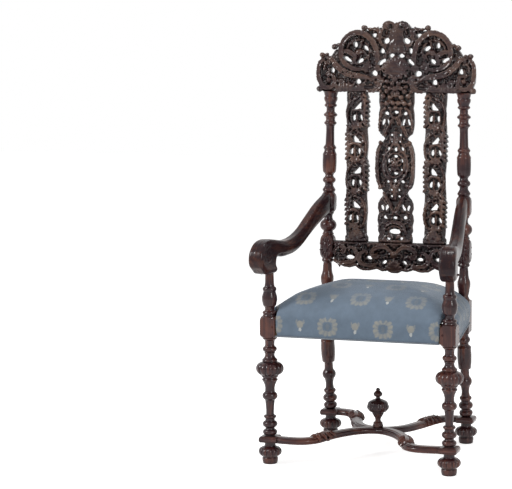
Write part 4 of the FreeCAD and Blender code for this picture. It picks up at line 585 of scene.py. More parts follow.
class ARMCHAIR_OT_front_posts(bpy.types.Operator):
    """Front legs, seat blocks and arm supports, each turned from one length"""
    bl_idname = "armchair.front_posts"
    bl_label = "Front Posts"

    def execute(self, context):
        settings = context.scene.armchair_turning
        low, high = FRONT_BLOCK
        core = FRONT_SQUARE * 0.4
        leg = turned("leg", eased(stretch(FRONT_LEG, PAD_TOP - 0.5, low, FRONT_SQUARE)
                                  + [(core, low + 4.0)]), settings.steps)
        cup = [PAD_TOP + share * (low - PAD_TOP) for share in (0.6, 0.754)]
        gadrooned(leg, *cup, 12, settings.gadroon_depth / MM)
        support = turned("support", eased([(core, high - 4.0)]
                                          + stretch(ARM_SUPPORT, high, ARM_UNDERSIDE + 3.0, FRONT_SQUARE)),
                         settings.steps)
        square = block("seat_block", FRONT_SQUARE, low, high, 18.0, neck=0.78)
        post = smooth(united("front_post", [leg, support, square]))
        for hand, side in SIDES.items():
            piece = standing(copied(post, "turned_front_post_" + hand), side * FRONT_X, FRONT_Y)
            dressed(piece, walnut_of("turned"), "turned_walnut", "front_post_" + hand)
        bpy.data.objects.remove(post)
        return {"FINISHED"}


def cabochon(name, width, height, place_z, front):
    """An oval boss with leaf cuts round it, sized in shares of the block's face that it stands on."""
    bpy.ops.object.select_all(action="DESELECT")
    bpy.ops.mesh.primitive_uv_sphere_add(segments=32, ring_count=16, radius=1, location=(0, 0, 0))
    boss = fresh()
    boss.scale = (width * 0.24 * MM, 3.6 * MM, height * 0.2 * MM)
    boss.location = (0, -front * MM, place_z * MM)
    parts, petals = [settled(boss)], 12
    for number in range(petals):
        turn = math.tau * (number + 0.5) / petals
        bpy.ops.object.select_all(action="DESELECT")
        bpy.ops.mesh.primitive_uv_sphere_add(segments=16, ring_count=8, radius=1)
        petal = fresh()
        petal.scale = (height * 0.115 * MM, 2.2 * MM, width * 0.075 * MM)
        petal.rotation_euler = (0, -math.atan2(math.sin(turn) * height, math.cos(turn) * width), 0)
        petal.location = (math.cos(turn) * width * 0.33 * MM, -(front - 0.4) * MM,
                          (place_z + math.sin(turn) * height * 0.31) * MM)
        parts.append(settled(petal))
    return united(name, parts)


class ARMCHAIR_OT_rear_posts(bpy.types.Operator):
    """Rear legs and the tall leaning back posts with their square blocks"""
    bl_idname = "armchair.rear_posts"
    bl_label = "Rear Posts"

    def execute(self, context):
        settings = context.scene.armchair_turning
        core = REAR_SQUARE * 0.38
        low, high = REAR_BLOCK
        leg = turned("leg", eased([(0.34 * REAR_SQUARE, PAD_TOP - 4.0)]
                                  + stretch(REAR_LEG, PAD_TOP, low, REAR_SQUARE) + [(core, low + 6.0)]),
                     settings.steps)
        seat_block = block("seat_block", REAR_SQUARE, low, high, 6.0)
        upper = []
        for shares, bottom, top in ((BACK_VASE, high, RAIL_BLOCK[0]),
                                    (BACK_BULB, RAIL_BLOCK[1], ARM_BLOCK[0]),
                                    (BACK_BARREL, ARM_BLOCK[1], SHAFT_BOTTOM)):
            closing = [(core, top + 6.0)] if shares is not BACK_BARREL else []
            profile = [(core, bottom - 6.0)] + stretch(shares, bottom, top, REAR_SQUARE) + closing
            upper.append(turned("turning", eased(profile), settings.steps))
        shaft = stretch(BACK_SHAFT, SHAFT_BOTTOM, CREST_BOTTOM + 2.0, REAR_SQUARE)
        upper.append(turned("turning", eased(shaft), settings.steps))
        for bottom, top in (RAIL_BLOCK, ARM_BLOCK):
            upper.append(block("block", REAR_SQUARE + 1.0, bottom, top, 0.45 * (top - bottom), 0.62, 1.2))
        for turn in (0, 180):
            rosette = cabochon("rosette", REAR_SQUARE, RAIL_BLOCK[1] - RAIL_BLOCK[0], sum(RAIL_BLOCK) / 2,
                               REAR_SQUARE / 2 + 0.4)
            upper.append(moved(rosette, Matrix.Rotation(math.radians(turn), 4, "Z")))
        upper = united("upper", upper)
        for hand, side in SIDES.items():
            parts = [moved(copied(upper, "upper_" + hand), axis_matrix(
                (side * REAR_X, REAR_Y, high), (-side * POST_LEAN, BACK_RAKE, CREST_BOTTOM - high)))]
            parts.append(moved(copied(leg, "leg_" + hand), axis_matrix(
                (side * REAR_X, REAR_FOOT_Y, PAD_TOP), (0, REAR_Y - REAR_FOOT_Y, low - PAD_TOP))))
            parts.append(standing(copied(seat_block, "seat_block_" + hand), side * REAR_X, REAR_Y))
            piece = smooth(united("turned_rear_post_" + hand, parts))
            dressed(piece, walnut_of("turned"), "turned_walnut", "rear_post_" + hand)
        for piece in (upper, leg, seat_block):
            bpy.data.objects.remove(piece)
        return {"FINISHED"}


class ARMCHAIR_OT_feet_and_finial(bpy.types.Operator):
    """Four lobed bun feet and the urn finial on the stretcher"""
    bl_idname = "armchair.feet_and_finial"
    bl_label = "Feet and Finial"

    def execute(self, context):
        settings = context.scene.armchair_turning
        finish = walnut_of("turned")
        depth = settings.gadroon_depth / MM
        bun = turned("bun", eased(stretch(FOOT, 0.0, FOOT_TOP + 0.4, FOOT_RADIUS)), settings.steps)
        gadrooned(bun, FOOT_TOP * 0.335, FOOT_TOP * 0.78, 12, depth * 1.1)
        smooth(bun)
        for row, y, spread in (("front", FRONT_Y, FRONT_X), ("rear", REAR_FOOT_Y, REAR_X)):
            for hand, side in SIDES.items():
                piece = standing(copied(bun, "bun_foot_%s_%s" % (row, hand)), side * spread, y)
                dressed(piece, finish, "turned_walnut", "foot_%s_%s" % (row, hand))
        bpy.data.objects.remove(bun)
        urn = turned("urn_finial", eased(stretch(FINIAL, 0.0, FINIAL_HEIGHT, FINIAL_RADIUS), 0.35),
                     settings.steps)
        for low, high, lobes, share in ((0.2, 0.395, 12, 0.6), (0.41, 0.66, 16, 0.4)):
            gadrooned(urn, FINIAL_HEIGHT * low, FINIAL_HEIGHT * high, lobes, depth * share)
        smooth(urn)
        moved(urn, Matrix.Translation((0, STRETCHER_MIDDLE_Y * MM, (PAD_TOP - 0.3) * MM)))
        dressed(urn, finish, "turned_walnut", "finial")
        return {"FINISHED"}


# ---- carving ----

def through(points, pace=3.0):
    """Points about a pace apart on a smooth line through the given points (x, z, width, lift)."""
    spots = [Vector(point) for point in points]
    spots = [spots[0] * 2 - spots[1]] + spots + [spots[-1] * 2 - spots[-2]]
    line = []
    for before, here, there, after in zip(spots, spots[1:], spots[2:], spots[3:]):
        count = max(1, round((there - here).xy.length / pace))
        for number in range(count):
            t = number / count
            line.append((here * 2 + (there - before) * t
                         + (before * 2 - here * 5 + there * 4 - after) * t * t
                         + (here * 3 - before - there * 3 + after) * t ** 3) * 0.5)
    return line + [spots[-2]]


def both_sides(half):
    """A closed outline from its right half, whose points on the middle line aren't repeated."""
    return half + [(-x, z) for x, z in reversed(half) if x]


# How much higher the carving stands than it is drawn, how flat its strokes are, the depth of
# the gouge marks, and the triangles that one carved board may have
RISE, FLATNESS, GOUGE_DEPTH, BOARD_TRIANGLES = 1.9, 0.8, 2.6, 190000

# Planes of each carved board, backwards from the back's leaning plane: the ground of its
# carving, the carving's front, and the board's back
CREST_PLANES, SPLAT_PLANES, RAIL_PLANES = (-7.0, -21.0, 10.5), (-3.6, -13.0, 7.5), (-6.5, -16.0, 11.0)
SIDE_SPLAT_X = 126


class Carving:
    """The raised work of one carved board, drawn on its face in x and z.

    A spot is (x, z, half width, lift of its middle over the ground); what has both hands is
    mirrored about the middle.
    """

    def __init__(self):
        self.lines = []
        self.through_to = 0

    def add(self, line, both):
        """Keeps a line, and below it the wood down to the depth that through_to gives."""
        lines = [line]
        for depth in range(2, self.through_to, 3):
            lines.append([Vector((s.x, s.y, max(s.z, 2.6), -depth)) for s in line])
        self.lines += lines
        if both:
            self.lines += [[Vector((-s.x, s.y, s.z, s.w)) for s in row] for row in lines]

    def rib(self, points, both=True):
        self.add(through(points), both)

    def bead(self, x, z, radius, lift, both=True):
        """A round boss."""
        turns = [math.radians(turn) for turn in (-80, -60, -35, 0, 35, 60, 80)]
        self.add([Vector((x + radius * math.sin(turn), z, radius * math.cos(turn), lift)) for turn in turns],
                 both)

    def channel(self, points, both=True, rim=0.3, floor=0.0):
        """A scroll band with a raised rim along each edge, a hollow between and a fine ridge in it."""
        line = through(points)
        self.add([Vector((s.x, s.y, s.z * 0.72, s.w + floor - s.z * 0.2)) for s in line], both)
        if max(s.z for s in line) > 7:
            self.add([Vector((s.x, s.y, s.z * 0.17, s.w + floor + s.z * 0.24)) for s in line], both)
        for hand in (1, -1):
            edge = []
            for before, spot, after in zip(line[:1] + line, line, line[1:] + line[-1:]):
                ahead = (after - before).xy.normalized()
                way = Vector((spot.x - ahead.y * hand, spot.y + ahead.x * hand)) - spot.xy
                reach = spot.z * (1 - rim)
                edge.append(Vector((spot.x + way.x * reach, spot.y + way.y * reach,
                                    max(0.9, spot.z * rim), spot.w + spot.z * 0.28)))
            self.add(edge, both)

    def leaf(self, points, lobes, reach, hand, both=True, lean=50.0, plump=0.34, start=0.08, end=0.95):
        """An acanthus edge: lobes that leave a line on one hand (1 left, -1 right) and curl on."""
        line = through(points, 2.0)
        for number in range(lobes):
            share = start + (end - start) * number / max(1, lobes - 1)
            at = min(len(line) - 2, int(share * (len(line) - 1)))
            spot, ahead = line[at], (line[at + 1] - line[at]).xy.normalized()
            size = reach * (0.62 + 0.38 * math.sin(math.pi * min(1.0, share * 1.15)))
            width = size * plump
            spots = []
            for step, turn, wide, rise in ((0.0, 0.3, 0.75, -0.6), (0.38, 0.85, 1.0, 0.4),
                                           (0.72, 0.85, 0.85, 0.9), (1.0, 0.55, 0.42, 0.2)):
                angle = math.radians(lean) * turn * hand
                way = Vector((ahead.x * math.cos(angle) - ahead.y * math.sin(angle),
                              ahead.x * math.sin(angle) + ahead.y * math.cos(angle)))
                spots.append((spot.x + way.x * size * step, spot.y + way.y * size * step,
                              width * wide, spot.w + rise))
            self.add(through(spots, 2.0), both)

    def foliage(self, outline, left, low, seed, size=12.0, both=True, margin=4.5):
        """Small curled leaves that cover the ground between the main lines, clear of the edge."""
        chance = random.Random(seed)
        right, high = max(x for x, z in outline) - 4, max(z for x, z in outline) - 4
        z = low
        while z < high:
            x = left
            while x < right:
                at = Vector((x + chance.uniform(-3, 3), z + chance.uniform(-4, 4)))
                turn, bend = chance.uniform(20, 160), chance.choice((-1, 1)) * chance.uniform(25, 55)
                spots = []
                for step, wide, lift in ((0.0, 0.5, 0.5), (0.4, 1.0, 2.6), (0.8, 0.8, 3.2), (1.1, 0.3, 1.2)):
                    angle = math.radians(turn + bend * step)
                    spots.append((at.x + math.cos(angle) * size * step, at.y + math.sin(angle) * size * step,
                                  wide * size * 0.27, lift))
                if all(inside(s[0] + dx, s[1] + dz, outline) for s in spots
                       for dx, dz in ((margin, 0), (-margin, 0), (0, margin), (0, -margin))):
                    self.rib(spots, both)
                x += size * 1.05
            z += size * 0.95

    def fan(self, x, z, turns, reach, wide, lift=0.5, both=True):
        """Flutes that spread from a point, by their turns from upright in degrees."""
        for turn in turns:
            way = Vector((math.sin(math.radians(turn)), math.cos(math.radians(turn))))
            long = reach(turn) if callable(reach) else reach
            self.add(through([(x + way.x * long * t, z + way.y * long * t, wide * w, lift + up)
                              for t, w, up in ((0.06, 0.35, -0.5), (0.4, 0.7, 0.6), (0.8, 1.0, 1.2),
                                               (1.0, 0.7, 0.2))]), both and bool(turn or x))

    def mesh(self, name, front):
        """One mesh of all the raised work, standing on the ground at front."""
        work = strokes(name, [[(s.x, -s.w * RISE / FLATNESS, s.y, s.z) for s in line] for line in self.lines])
        work.scale.y = FLATNESS
        work.location.y = front * MM
        return settled(work)


def board(name, outlines, front, back):
    """A flat board through closed outlines of (x, z), from its front to its back plane."""
    bpy.ops.object.select_all(action="DESELECT")
    bpy.ops.curve.primitive_bezier_circle_add(location=(0, 0, 0))
    curve = fresh().data
    curve.splines.clear()
    curve.dimensions, curve.fill_mode = "2D", "BOTH"
    curve.extrude = (back - front) / 2 * MM
    for outline in outlines:
        polyline(curve, [(x, z, 0, 1) for x, z in outline], closed=True)
    bpy.ops.object.convert(target="MESH")
    plan = fresh(name)
    plan.rotation_euler.x = math.radians(90)
    plan.location.y = (front + back) / 2 * MM
    return tidy(settled(plan))


def pierced_shape(x, z, width, height, tilt, corners):
    """The outline of an opening: an oval, or with 3 or 4 corners a soft triangle or square."""
    outline, count, lean = [], 20, math.radians(tilt)
    for number in range(count):
        turn = math.tau * number / count
        reach = 1.0
        if corners > 2:
            part = (turn - math.pi / 2) % (math.tau / corners) - math.pi / corners
            reach = 0.55 + 0.45 * math.cos(math.pi / corners) / math.cos(part)
        across, up = width / 2 * reach * math.cos(turn), height / 2 * reach * math.sin(turn)
        outline.append((x + across * math.cos(lean) - up * math.sin(lean),
                        z + across * math.sin(lean) + up * math.cos(lean)))
    return outline


def inside(x, z, outline):
    """Whether a point lies in a closed outline."""
    within = False
    for (x0, z0), (x1, z1) in zip(outline, outline[1:] + outline[:1]):
        if (z0 > z) != (z1 > z) and x < x0 + (x1 - x0) * (z - z0) / (z1 - z0):
            within = not within
    return within


def gouged(piece, ground):
    """Breaks the face of a board into small facets, as gouges leave it."""
    marks = bpy.data.textures.new("gouge_marks", "VORONOI")
    marks.noise_scale = 0.009
    worked = piece.vertex_groups.new(name="worked")
    worked.add([v.index for v in piece.data.vertices if v.co.y < (ground + 2.5) * MM], 1.0, "REPLACE")
    return finished(piece, "DISPLACE", texture=marks, texture_coords="LOCAL", strength=-GOUGE_DEPTH * MM,
                    mid_level=0.42, vertex_group=worked.name)


def both_hands(rows):
    """Each row of an opening, and its mirror image unless it is on the middle line."""
    for x, z, width, height, tilt, corners in rows:
        yield x, z, width, height, tilt, corners
        if x:
            yield -x, z, width, height, -tilt, corners


def without_chips(piece):
    """Keeps a piece's largest body and clears away what hangs loose beside it."""
    name = piece.name
    edit(piece)
    bpy.ops.mesh.separate(type="LOOSE")
    bpy.ops.object.mode_set(mode="OBJECT")
    parts = sorted(bpy.context.selected_objects, key=lambda part: len(part.data.vertices))
    for chip in parts[:-1]:
        bpy.data.objects.remove(chip)
    return united(name, parts[-1:])


def carved(name, work, outline, openings, planes, voxel):
    """Carves a board: raised work and board made one, openings pierced, and edges softened."""
    ground, front, back = planes
    piece = united(name, [board(name + "_board", [outline], ground, back), work.mesh(name + "_work", ground)])
    remeshed(piece, voxel * 1.1 * MM)
    shapes = [row if len(row) < 5 else pierced_shape(*row) for row in openings]
    cut(piece, board(name + "_knives", shapes, front - 30, back + 30), solver="MANIFOLD")
    gouged(piece, ground)
    remeshed(piece, voxel * MM)
    finished(piece, "SMOOTH", factor=0.5, iterations=1)
    piece = without_chips(piece)
    count = sum(len(face.vertices) - 2 for face in piece.data.polygons)
    if count > BOARD_TRIANGLES:
        finished(piece, "DECIMATE", ratio=BOARD_TRIANGLES / count)
    return smooth(piece, 60)


class CarvingSettings(bpy.types.PropertyGroup):
    voxel: bpy.props.FloatProperty(
        name="Fineness", description="Size of the finest gouge mark kept in the carving",
        subtype="DISTANCE", unit="LENGTH", default=0.0016, min=0.0008, max=0.005)


CREST_OUTLINE = [
    (238, 1096), (243, 1112), (250, 1130), (251, 1158), (244, 1185), (232, 1206), (212, 1208),
    (200, 1226), (184, 1232), (174, 1250), (155, 1270), (130, 1283), (105, 1291), (92, 1287),
    (78, 1286), (62, 1296), (44, 1297), (36, 1308), (24, 1314), (8, 1306), (0, 1304),
]
CREST_OPENINGS = [
    (133, 1243, 13, 18, -10, 2), (98, 1233, 22, 12, 32, 2), (158, 1198, 29, 11, 26, 2),
    (117, 1193, 21, 12, -36, 2), (206, 1163, 16, 20, -10, 3), (123, 1129, 20, 19, 0, 3),
    (70, 1155, 25, 20, 20, 3), (72, 1273, 20, 14, 180, 3), (32, 1256, 22, 17, -28, 2),
    (46, 1225, 16, 21, 12, 3), (15.5, 1210, 19, 13, 0, 4), (47, 1190, 28, 12, -36, 2),
]


class ARMCHAIR_OT_crest(bpy.types.Operator):
    """The pierced crest: great volutes, outer scrolls, long leaves, shell and cartouche"""
    bl_idname = "armchair.crest"
    bl_label = "Crest"

    def execute(self, context):
        work = Carving()
        # the great volute
        ring = [(64, 1150, 5, 1), (58, 1178, 7.5, 3), (60, 1214, 9, 5), (70, 1248, 9.5, 6), (94, 1273, 9.5, 7),
                (125, 1281, 9.5, 7), (154, 1269, 9.5, 7), (172, 1244, 9.5, 7), (176, 1215, 9, 6),
                (166, 1188, 8.5, 5), (144, 1172, 8, 4), (118, 1167, 7, 3), (94, 1172, 5.5, 2), (80, 1182, 3, 1)]
        work.channel(ring)
        work.channel([(172, 1222, 7, 4), (154, 1222, 8, 5), (139, 1214, 8, 5), (131, 1203, 7, 4),
                      (138, 1190, 5, 2)])
        work.leaf([(120, 1262, 4, 3), (146, 1256, 5, 4), (160, 1240, 5, 4), (160, 1222, 5, 4)], 6, 15, -1)
        work.leaf([(84, 1200, 4, 3), (80, 1222, 5, 4), (88, 1246, 5, 4), (106, 1258, 5, 4)], 6, 14, -1)
        work.leaf([(86, 1190, 4, 3), (104, 1182, 5, 3), (130, 1180, 5, 3), (150, 1186, 4, 3)], 6, 12, 1)
        work.rib([(92, 1208, 4, 2), (106, 1222, 7, 5), (120, 1222, 8, 6), (127, 1214, 5, 4)])
        work.bead(119, 1219, 10.5, 7)
        work.leaf(ring[3:10], 13, 9, 1, lean=70)
        work.rib([(110, 1238, 3, 3), (112, 1250, 4, 4), (104, 1262, 3, 3)])
        # the outer scroll
        scroll = [(230, 1205, 5, 2), (246, 1186, 7.5, 4), (250, 1157, 8, 5), (245, 1128, 8, 5),
                  (230, 1111, 8, 5), (210, 1110, 7.5, 4), (198, 1124, 7, 4), (200, 1142, 6, 4),
                  (213, 1149, 5, 3), (222, 1142, 4, 3)]
        work.channel(scroll)
        work.bead(217, 1133, 8.5, 5)
        work.leaf([(196, 1176, 4, 3), (210, 1186, 5, 4), (228, 1186, 5, 4), (236, 1170, 5, 4),
                   (236, 1150, 4, 3)], 6, 12, -1)
        # the long leaf between them, and the leaves over the lower edge
        long_leaf = [(226, 1204, 4, 3), (207, 1198, 8, 5), (188, 1176, 10, 6), (158, 1155, 11, 6),
                     (124, 1147, 10, 6), (96, 1143, 8, 5), (74, 1132, 5, 3), (62, 1118, 3, 1)]
        work.channel(long_leaf, rim=0.26)
        work.rib([(s[0], s[1], 1.6, s[3] + 3.5) for s in long_leaf[1:7]])
        work.leaf(long_leaf[1:7], 9, 15, 1, lean=62)
        work.leaf([(196, 1210, 4, 2), (186, 1200, 5, 3), (176, 1186, 4, 2)], 4, 13, -1)
        for x, top, turn in ((188, 1136, 14), (178, 1134, 6), (168, 1132, -2), (158, 1128, -10),
                             (148, 1124, -20)):
            work.rib([(x, 1099, 4, 2), (x + turn * 0.3, 1114, 5, 4), (x + turn * 0.8, top, 3.4, 2)])
        # the inner scroll
        inner = [(102, 1104, 4, 1), (86, 1100, 6, 3), (66, 1103, 6.5, 4), (51, 1116, 6.5, 4), (49, 1134, 6, 4),
                 (60, 1145, 5.5, 3), (72, 1139, 5, 3), (72, 1127, 4, 2)]
        work.channel(inner)
        work.bead(63, 1127, 6.5, 4)
        work.leaf(inner[:5], 7, 10, 1, lean=65)
        work.leaf([(90, 1118, 4, 2), (104, 1114, 5, 3), (122, 1110, 5, 3), (140, 1108, 4, 2)], 6, 11, 1)
        work.rib([(96, 1102, 4, 2), (130, 1101, 5, 2), (170, 1100, 5, 2), (216, 1100, 5, 2), (240, 1102, 5, 2)])
        # fruit along the edge, and the straps that rise to the cartouche
        for x, z, radius in ((102, 1296, 10.5), (198, 1236, 10.5), (238, 1210, 9.5), (246, 1104, 11),
                             (84, 1291, 7), (185, 1243, 7), (222, 1211, 7)):
            work.bead(x, z, radius, 5)
            work.bead(x, z, radius * 0.45, 5 + radius * 0.62)
        work.leaf([(92, 1290, 4, 2), (76, 1294, 5, 3), (60, 1300, 4, 2), (48, 1304, 3, 2)], 5, 10, 1, lean=40)
        for strap in ([(84, 1290, 4, 2), (68, 1293, 6, 4), (54, 1286, 6, 4), (54, 1268, 5, 4),
                       (60, 1252, 4, 3)],
                      [(42, 1300, 4, 3), (47, 1283, 5, 4), (52, 1262, 5, 4), (45, 1243, 5, 4),
                       (34, 1238, 3.5, 2)],
                      [(58, 1240, 4, 2), (58, 1218, 5, 3), (62, 1203, 5, 3), (48, 1204, 4, 3),
                       (30, 1203, 4, 2)],
                      [(66, 1186, 4, 2), (58, 1172, 5, 3), (44, 1170, 5, 4), (30, 1178, 4, 3)]):
            work.channel(strap)
        # the fluted tongue at the top
        for x, lift in ((0, 3.2), (7, 2.8), (13, 2.0)):
            work.rib([(x * 0.9, 1303, 4.2, lift), (x * 0.95, 1284, 4.2, lift), (x, 1262, 4.2, lift),
                      (x * 1.35, 1244, 5, lift), (x * 1.8, 1228, 4.6, lift - 1), (x * 1.5, 1217, 3.4, 1)],
                      bool(x))
        work.rib([(19, 1292, 3, 2), (21, 1272, 3, 3), (24, 1254, 3.4, 3), (33, 1240, 3.4, 3), (36, 1226, 3, 2)])
        work.channel([(3, 1296, 4, 5), (9, 1310, 5, 7), (24, 1313, 6.5, 8), (37, 1306, 6, 7), (36, 1296, 5, 6),
                      (27, 1294, 4, 6)])
        work.bead(26, 1303, 6, 9)
        work.bead(0, 1309, 5.5, 3, both=False)
        # the shell over its heap of fruit
        work.fan(0, 1143, (0, 10, 20, 30, 41, 53, 66), lambda turn: 62 - turn * 0.22, 3.5, 5)
        work.channel([(0, 1206, 3, 3), (14, 1202, 4, 4), (28, 1194, 4, 4), (40, 1180, 4, 4), (44, 1164, 4, 4)],
                     rim=0.4)
        for x, z, radius in ((0, 1139, 10), (17, 1144, 7), (10, 1124, 8), (26, 1130, 8), (0, 1108, 10),
                             (18, 1109, 8), (34, 1114, 7), (40, 1130, 6), (33, 1148, 6), (9, 1094, 7),
                             (28, 1098, 7)):
            work.bead(x, z, radius, 8 - abs(x) * 0.08, both=bool(x))
        # small leaves on the ground between all these
        outline = both_sides(CREST_OUTLINE)
        work.foliage(outline, 6.0, 1104.0, 3, 13.0)
        piece = carved("carved_crest", work, outline, both_hands(CREST_OPENINGS),
                       CREST_PLANES, context.scene.armchair_carving.voxel / MM * 1.12)
        dressed(moved(piece, back_matrix()), walnut_of("crest"), "carved_walnut", "crest_rail")
        return {"FINISHED"}


# Side splats: height of each triangular opening, middle and height of the pair of drops under
# it, and the hand on which the great scroll lies
SIDE_UNITS = [(743, -8, 703, -1), (851, 0, 813, 1), (948, -4, 912, -1), (1052, 2, 1017, 1)]


def side_outline():
    """The edge of a side splat's board, inside the leaves that pass beyond it."""
    right = [(38, 629), (38, 643), (32, 650)]
    right += [(34.0 - 1.5 * math.sin((z - 648) / 51.5 * math.pi), z) for z in range(656, 1100, 6)]
    left = [(-34.0 - 1.5 * math.sin((z - 648) / 51.5 * math.pi), z) for z in range(1096, 650, -6)]
    return right + [(35, 1105), (-35, 1105)] + left + [(-32, 650), (-38, 643), (-38, 629)]


def side_work():
    """A side splat: one stem that winds down it, with a pod and a lobed leaf in each bend."""
    work = Carving()
    stem = []
    for top, middle, drop, hand in reversed(SIDE_UNITS):
        stem += [(x * hand, top + z, wide, lift) for x, z, wide, lift in (
            (-4, 24, 6.5, 4), (-20, 14, 8, 5.5), (-29, -7, 8.8, 6.5), (-31, -33, 8.8, 6.5), (-26, -56, 8, 6),
            (-14, -71, 7, 5))]
    stem = [(30, 1098, 5, 3)] + stem + [(2, 668, 6, 5), (20, 656, 5, 4), (28, 642, 4, 3)]
    work.channel(stem, both=False, rim=0.24, floor=-2.2)
    work.through_to = 10
    for top, middle, drop, hand in SIDE_UNITS:
        for x, z, radius in ((31, 30, 7), (35, 15, 6.5), (35, 0, 6.5), (34.5, -15, 6.5), (34, -30, 6.5),
                             (33.5, -45, 6.5), (34, -60, 7.5)):
            work.rib([((x - 12) * hand, top + z + 9, 2.4, 4), ((x - 4) * hand, top + z + 3, radius * 0.8, 5.5),
                      (x * hand, top + z - 1, radius * 0.62, 4), ((x + 3.4) * hand, top + z - 5, 2.0, 1)],
                      both=False)
    work.through_to = 0
    for top, middle, drop, hand in SIDE_UNITS:
        def at(points):
            return [(x * hand, top + z, wide, lift) for x, z, wide, lift in points]
        for inset, rise in ((25, 6.5), (19, 4)):
            work.rib(at([(12, 32, 2, 2), (inset, 16, 3, rise), (inset + 1, -6, 3, rise),
                         (inset + 2, -30, 3, rise), (inset, -54, 2.4, 3)]), both=False)
        hood = [(middle - 19 * hand, drop + 8, 3, 3), (middle - 15 * hand, drop + 20, 5, 6),
                (middle, drop + 26, 6, 8), (middle + 14 * hand, drop + 20, 5, 7),
                (middle + 18 * hand, drop + 8, 3.4, 5)]
        work.rib(hood, both=False)
        work.rib([(middle, drop + 18, 2.4, 6), (middle, drop + 2, 5.2, 7.5), (middle, drop - 12, 3.6, 6),
                  (middle, drop - 20, 1.8, 4)], both=False)
        for side in (-1, 1):
            work.rib([(middle + side * 18, drop + 9, 2.6, 4), (middle + side * 20, drop - 4, 3, 5),
                      (middle + side * 14, drop - 16, 3.2, 5.5), (middle + side * 3, drop - 19, 2.8, 5)],
                      both=False)
        for turn in (138, 158, 178, 198, 218):
            across, up = math.sin(math.radians(turn)), math.cos(math.radians(turn))
            work.rib([(middle + across * 10, drop - 9 + up * 10, 2, 3),
                      (middle + across * 22, drop - 9 + up * 22, 3.6, 6),
                      (middle + across * 33, drop - 9 + up * 31, 2.2, 3)], both=False)
    work.fan(0, 634, (-62, -40, -20, 0, 20, 40, 62), lambda turn: 34 - abs(turn) * 0.1, 5.4, 4, both=False)
    work.rib([(-34, 634, 5, 3), (0, 633, 5, 4), (34, 634, 5, 3)], both=False)
    work.foliage(side_outline(), -34.0, 640.0, 9, 11.0, both=False)
    return work


def side_openings():
    """A side splat's triangular openings, and the drops under them in pairs."""
    for top, middle, drop, hand in SIDE_UNITS:
        yield [((x + middle / 4) * hand, top + z) for x, z in ((-13, -11), (10, 13), (13, 3), (11, -8))]
        for side in (-1, 1):
            yield middle + side * 12.0, drop - 1, 10.0, 19, 13.0 * side + 6 * hand, 2


CENTRE_OUTLINE = [
    (56, 629), (56, 645), (51, 652), (57, 664), (55, 680), (59, 696), (57, 712), (53, 720), (58, 734),
    (57, 750), (51, 763), (43, 772), (38, 784), (44, 793), (52, 799), (57, 812), (60, 832), (61, 870),
    (60, 905), (55, 925), (49, 938), (41, 946), (36, 953), (43, 961), (52, 967), (56, 982), (58, 1000),
    (57, 1030), (54, 1048), (57, 1066), (56, 1105),
]
CENTRE_OPENINGS = [
    (0, 1035, 17, 10, 180, 3), (30, 1031, 17, 12, 14, 3), (24, 1003, 8, 23, -16, 2), (41, 1004, 8, 21, 18, 2),
    (14, 964, 8, 7, 0, 2), (13, 944, 7, 7, 0, 2), (22, 921, 9, 12, 24, 2), (0, 919, 12, 11, 0, 2),
    (0, 898, 13, 9, 0, 2), (22, 884, 8, 13, 12, 2), (0, 845, 13, 8, 0, 2), (23, 819, 14, 10, -14, 3),
    (0, 821, 10, 10, 0, 2), (12, 793, 8, 7, 0, 2), (12, 773, 8, 7, 0, 2), (27, 738, 9, 21, 22, 2),
    (42, 737, 8, 18, -18, 2), (32, 707, 14, 12, 8, 3), (0, 706, 15, 7, 0, 2), (0, 663, 38, 15, 0, 2),
    (21, 641, 10, 9, 0, 2), (19, 856, 6, 9, -20, 2),
]


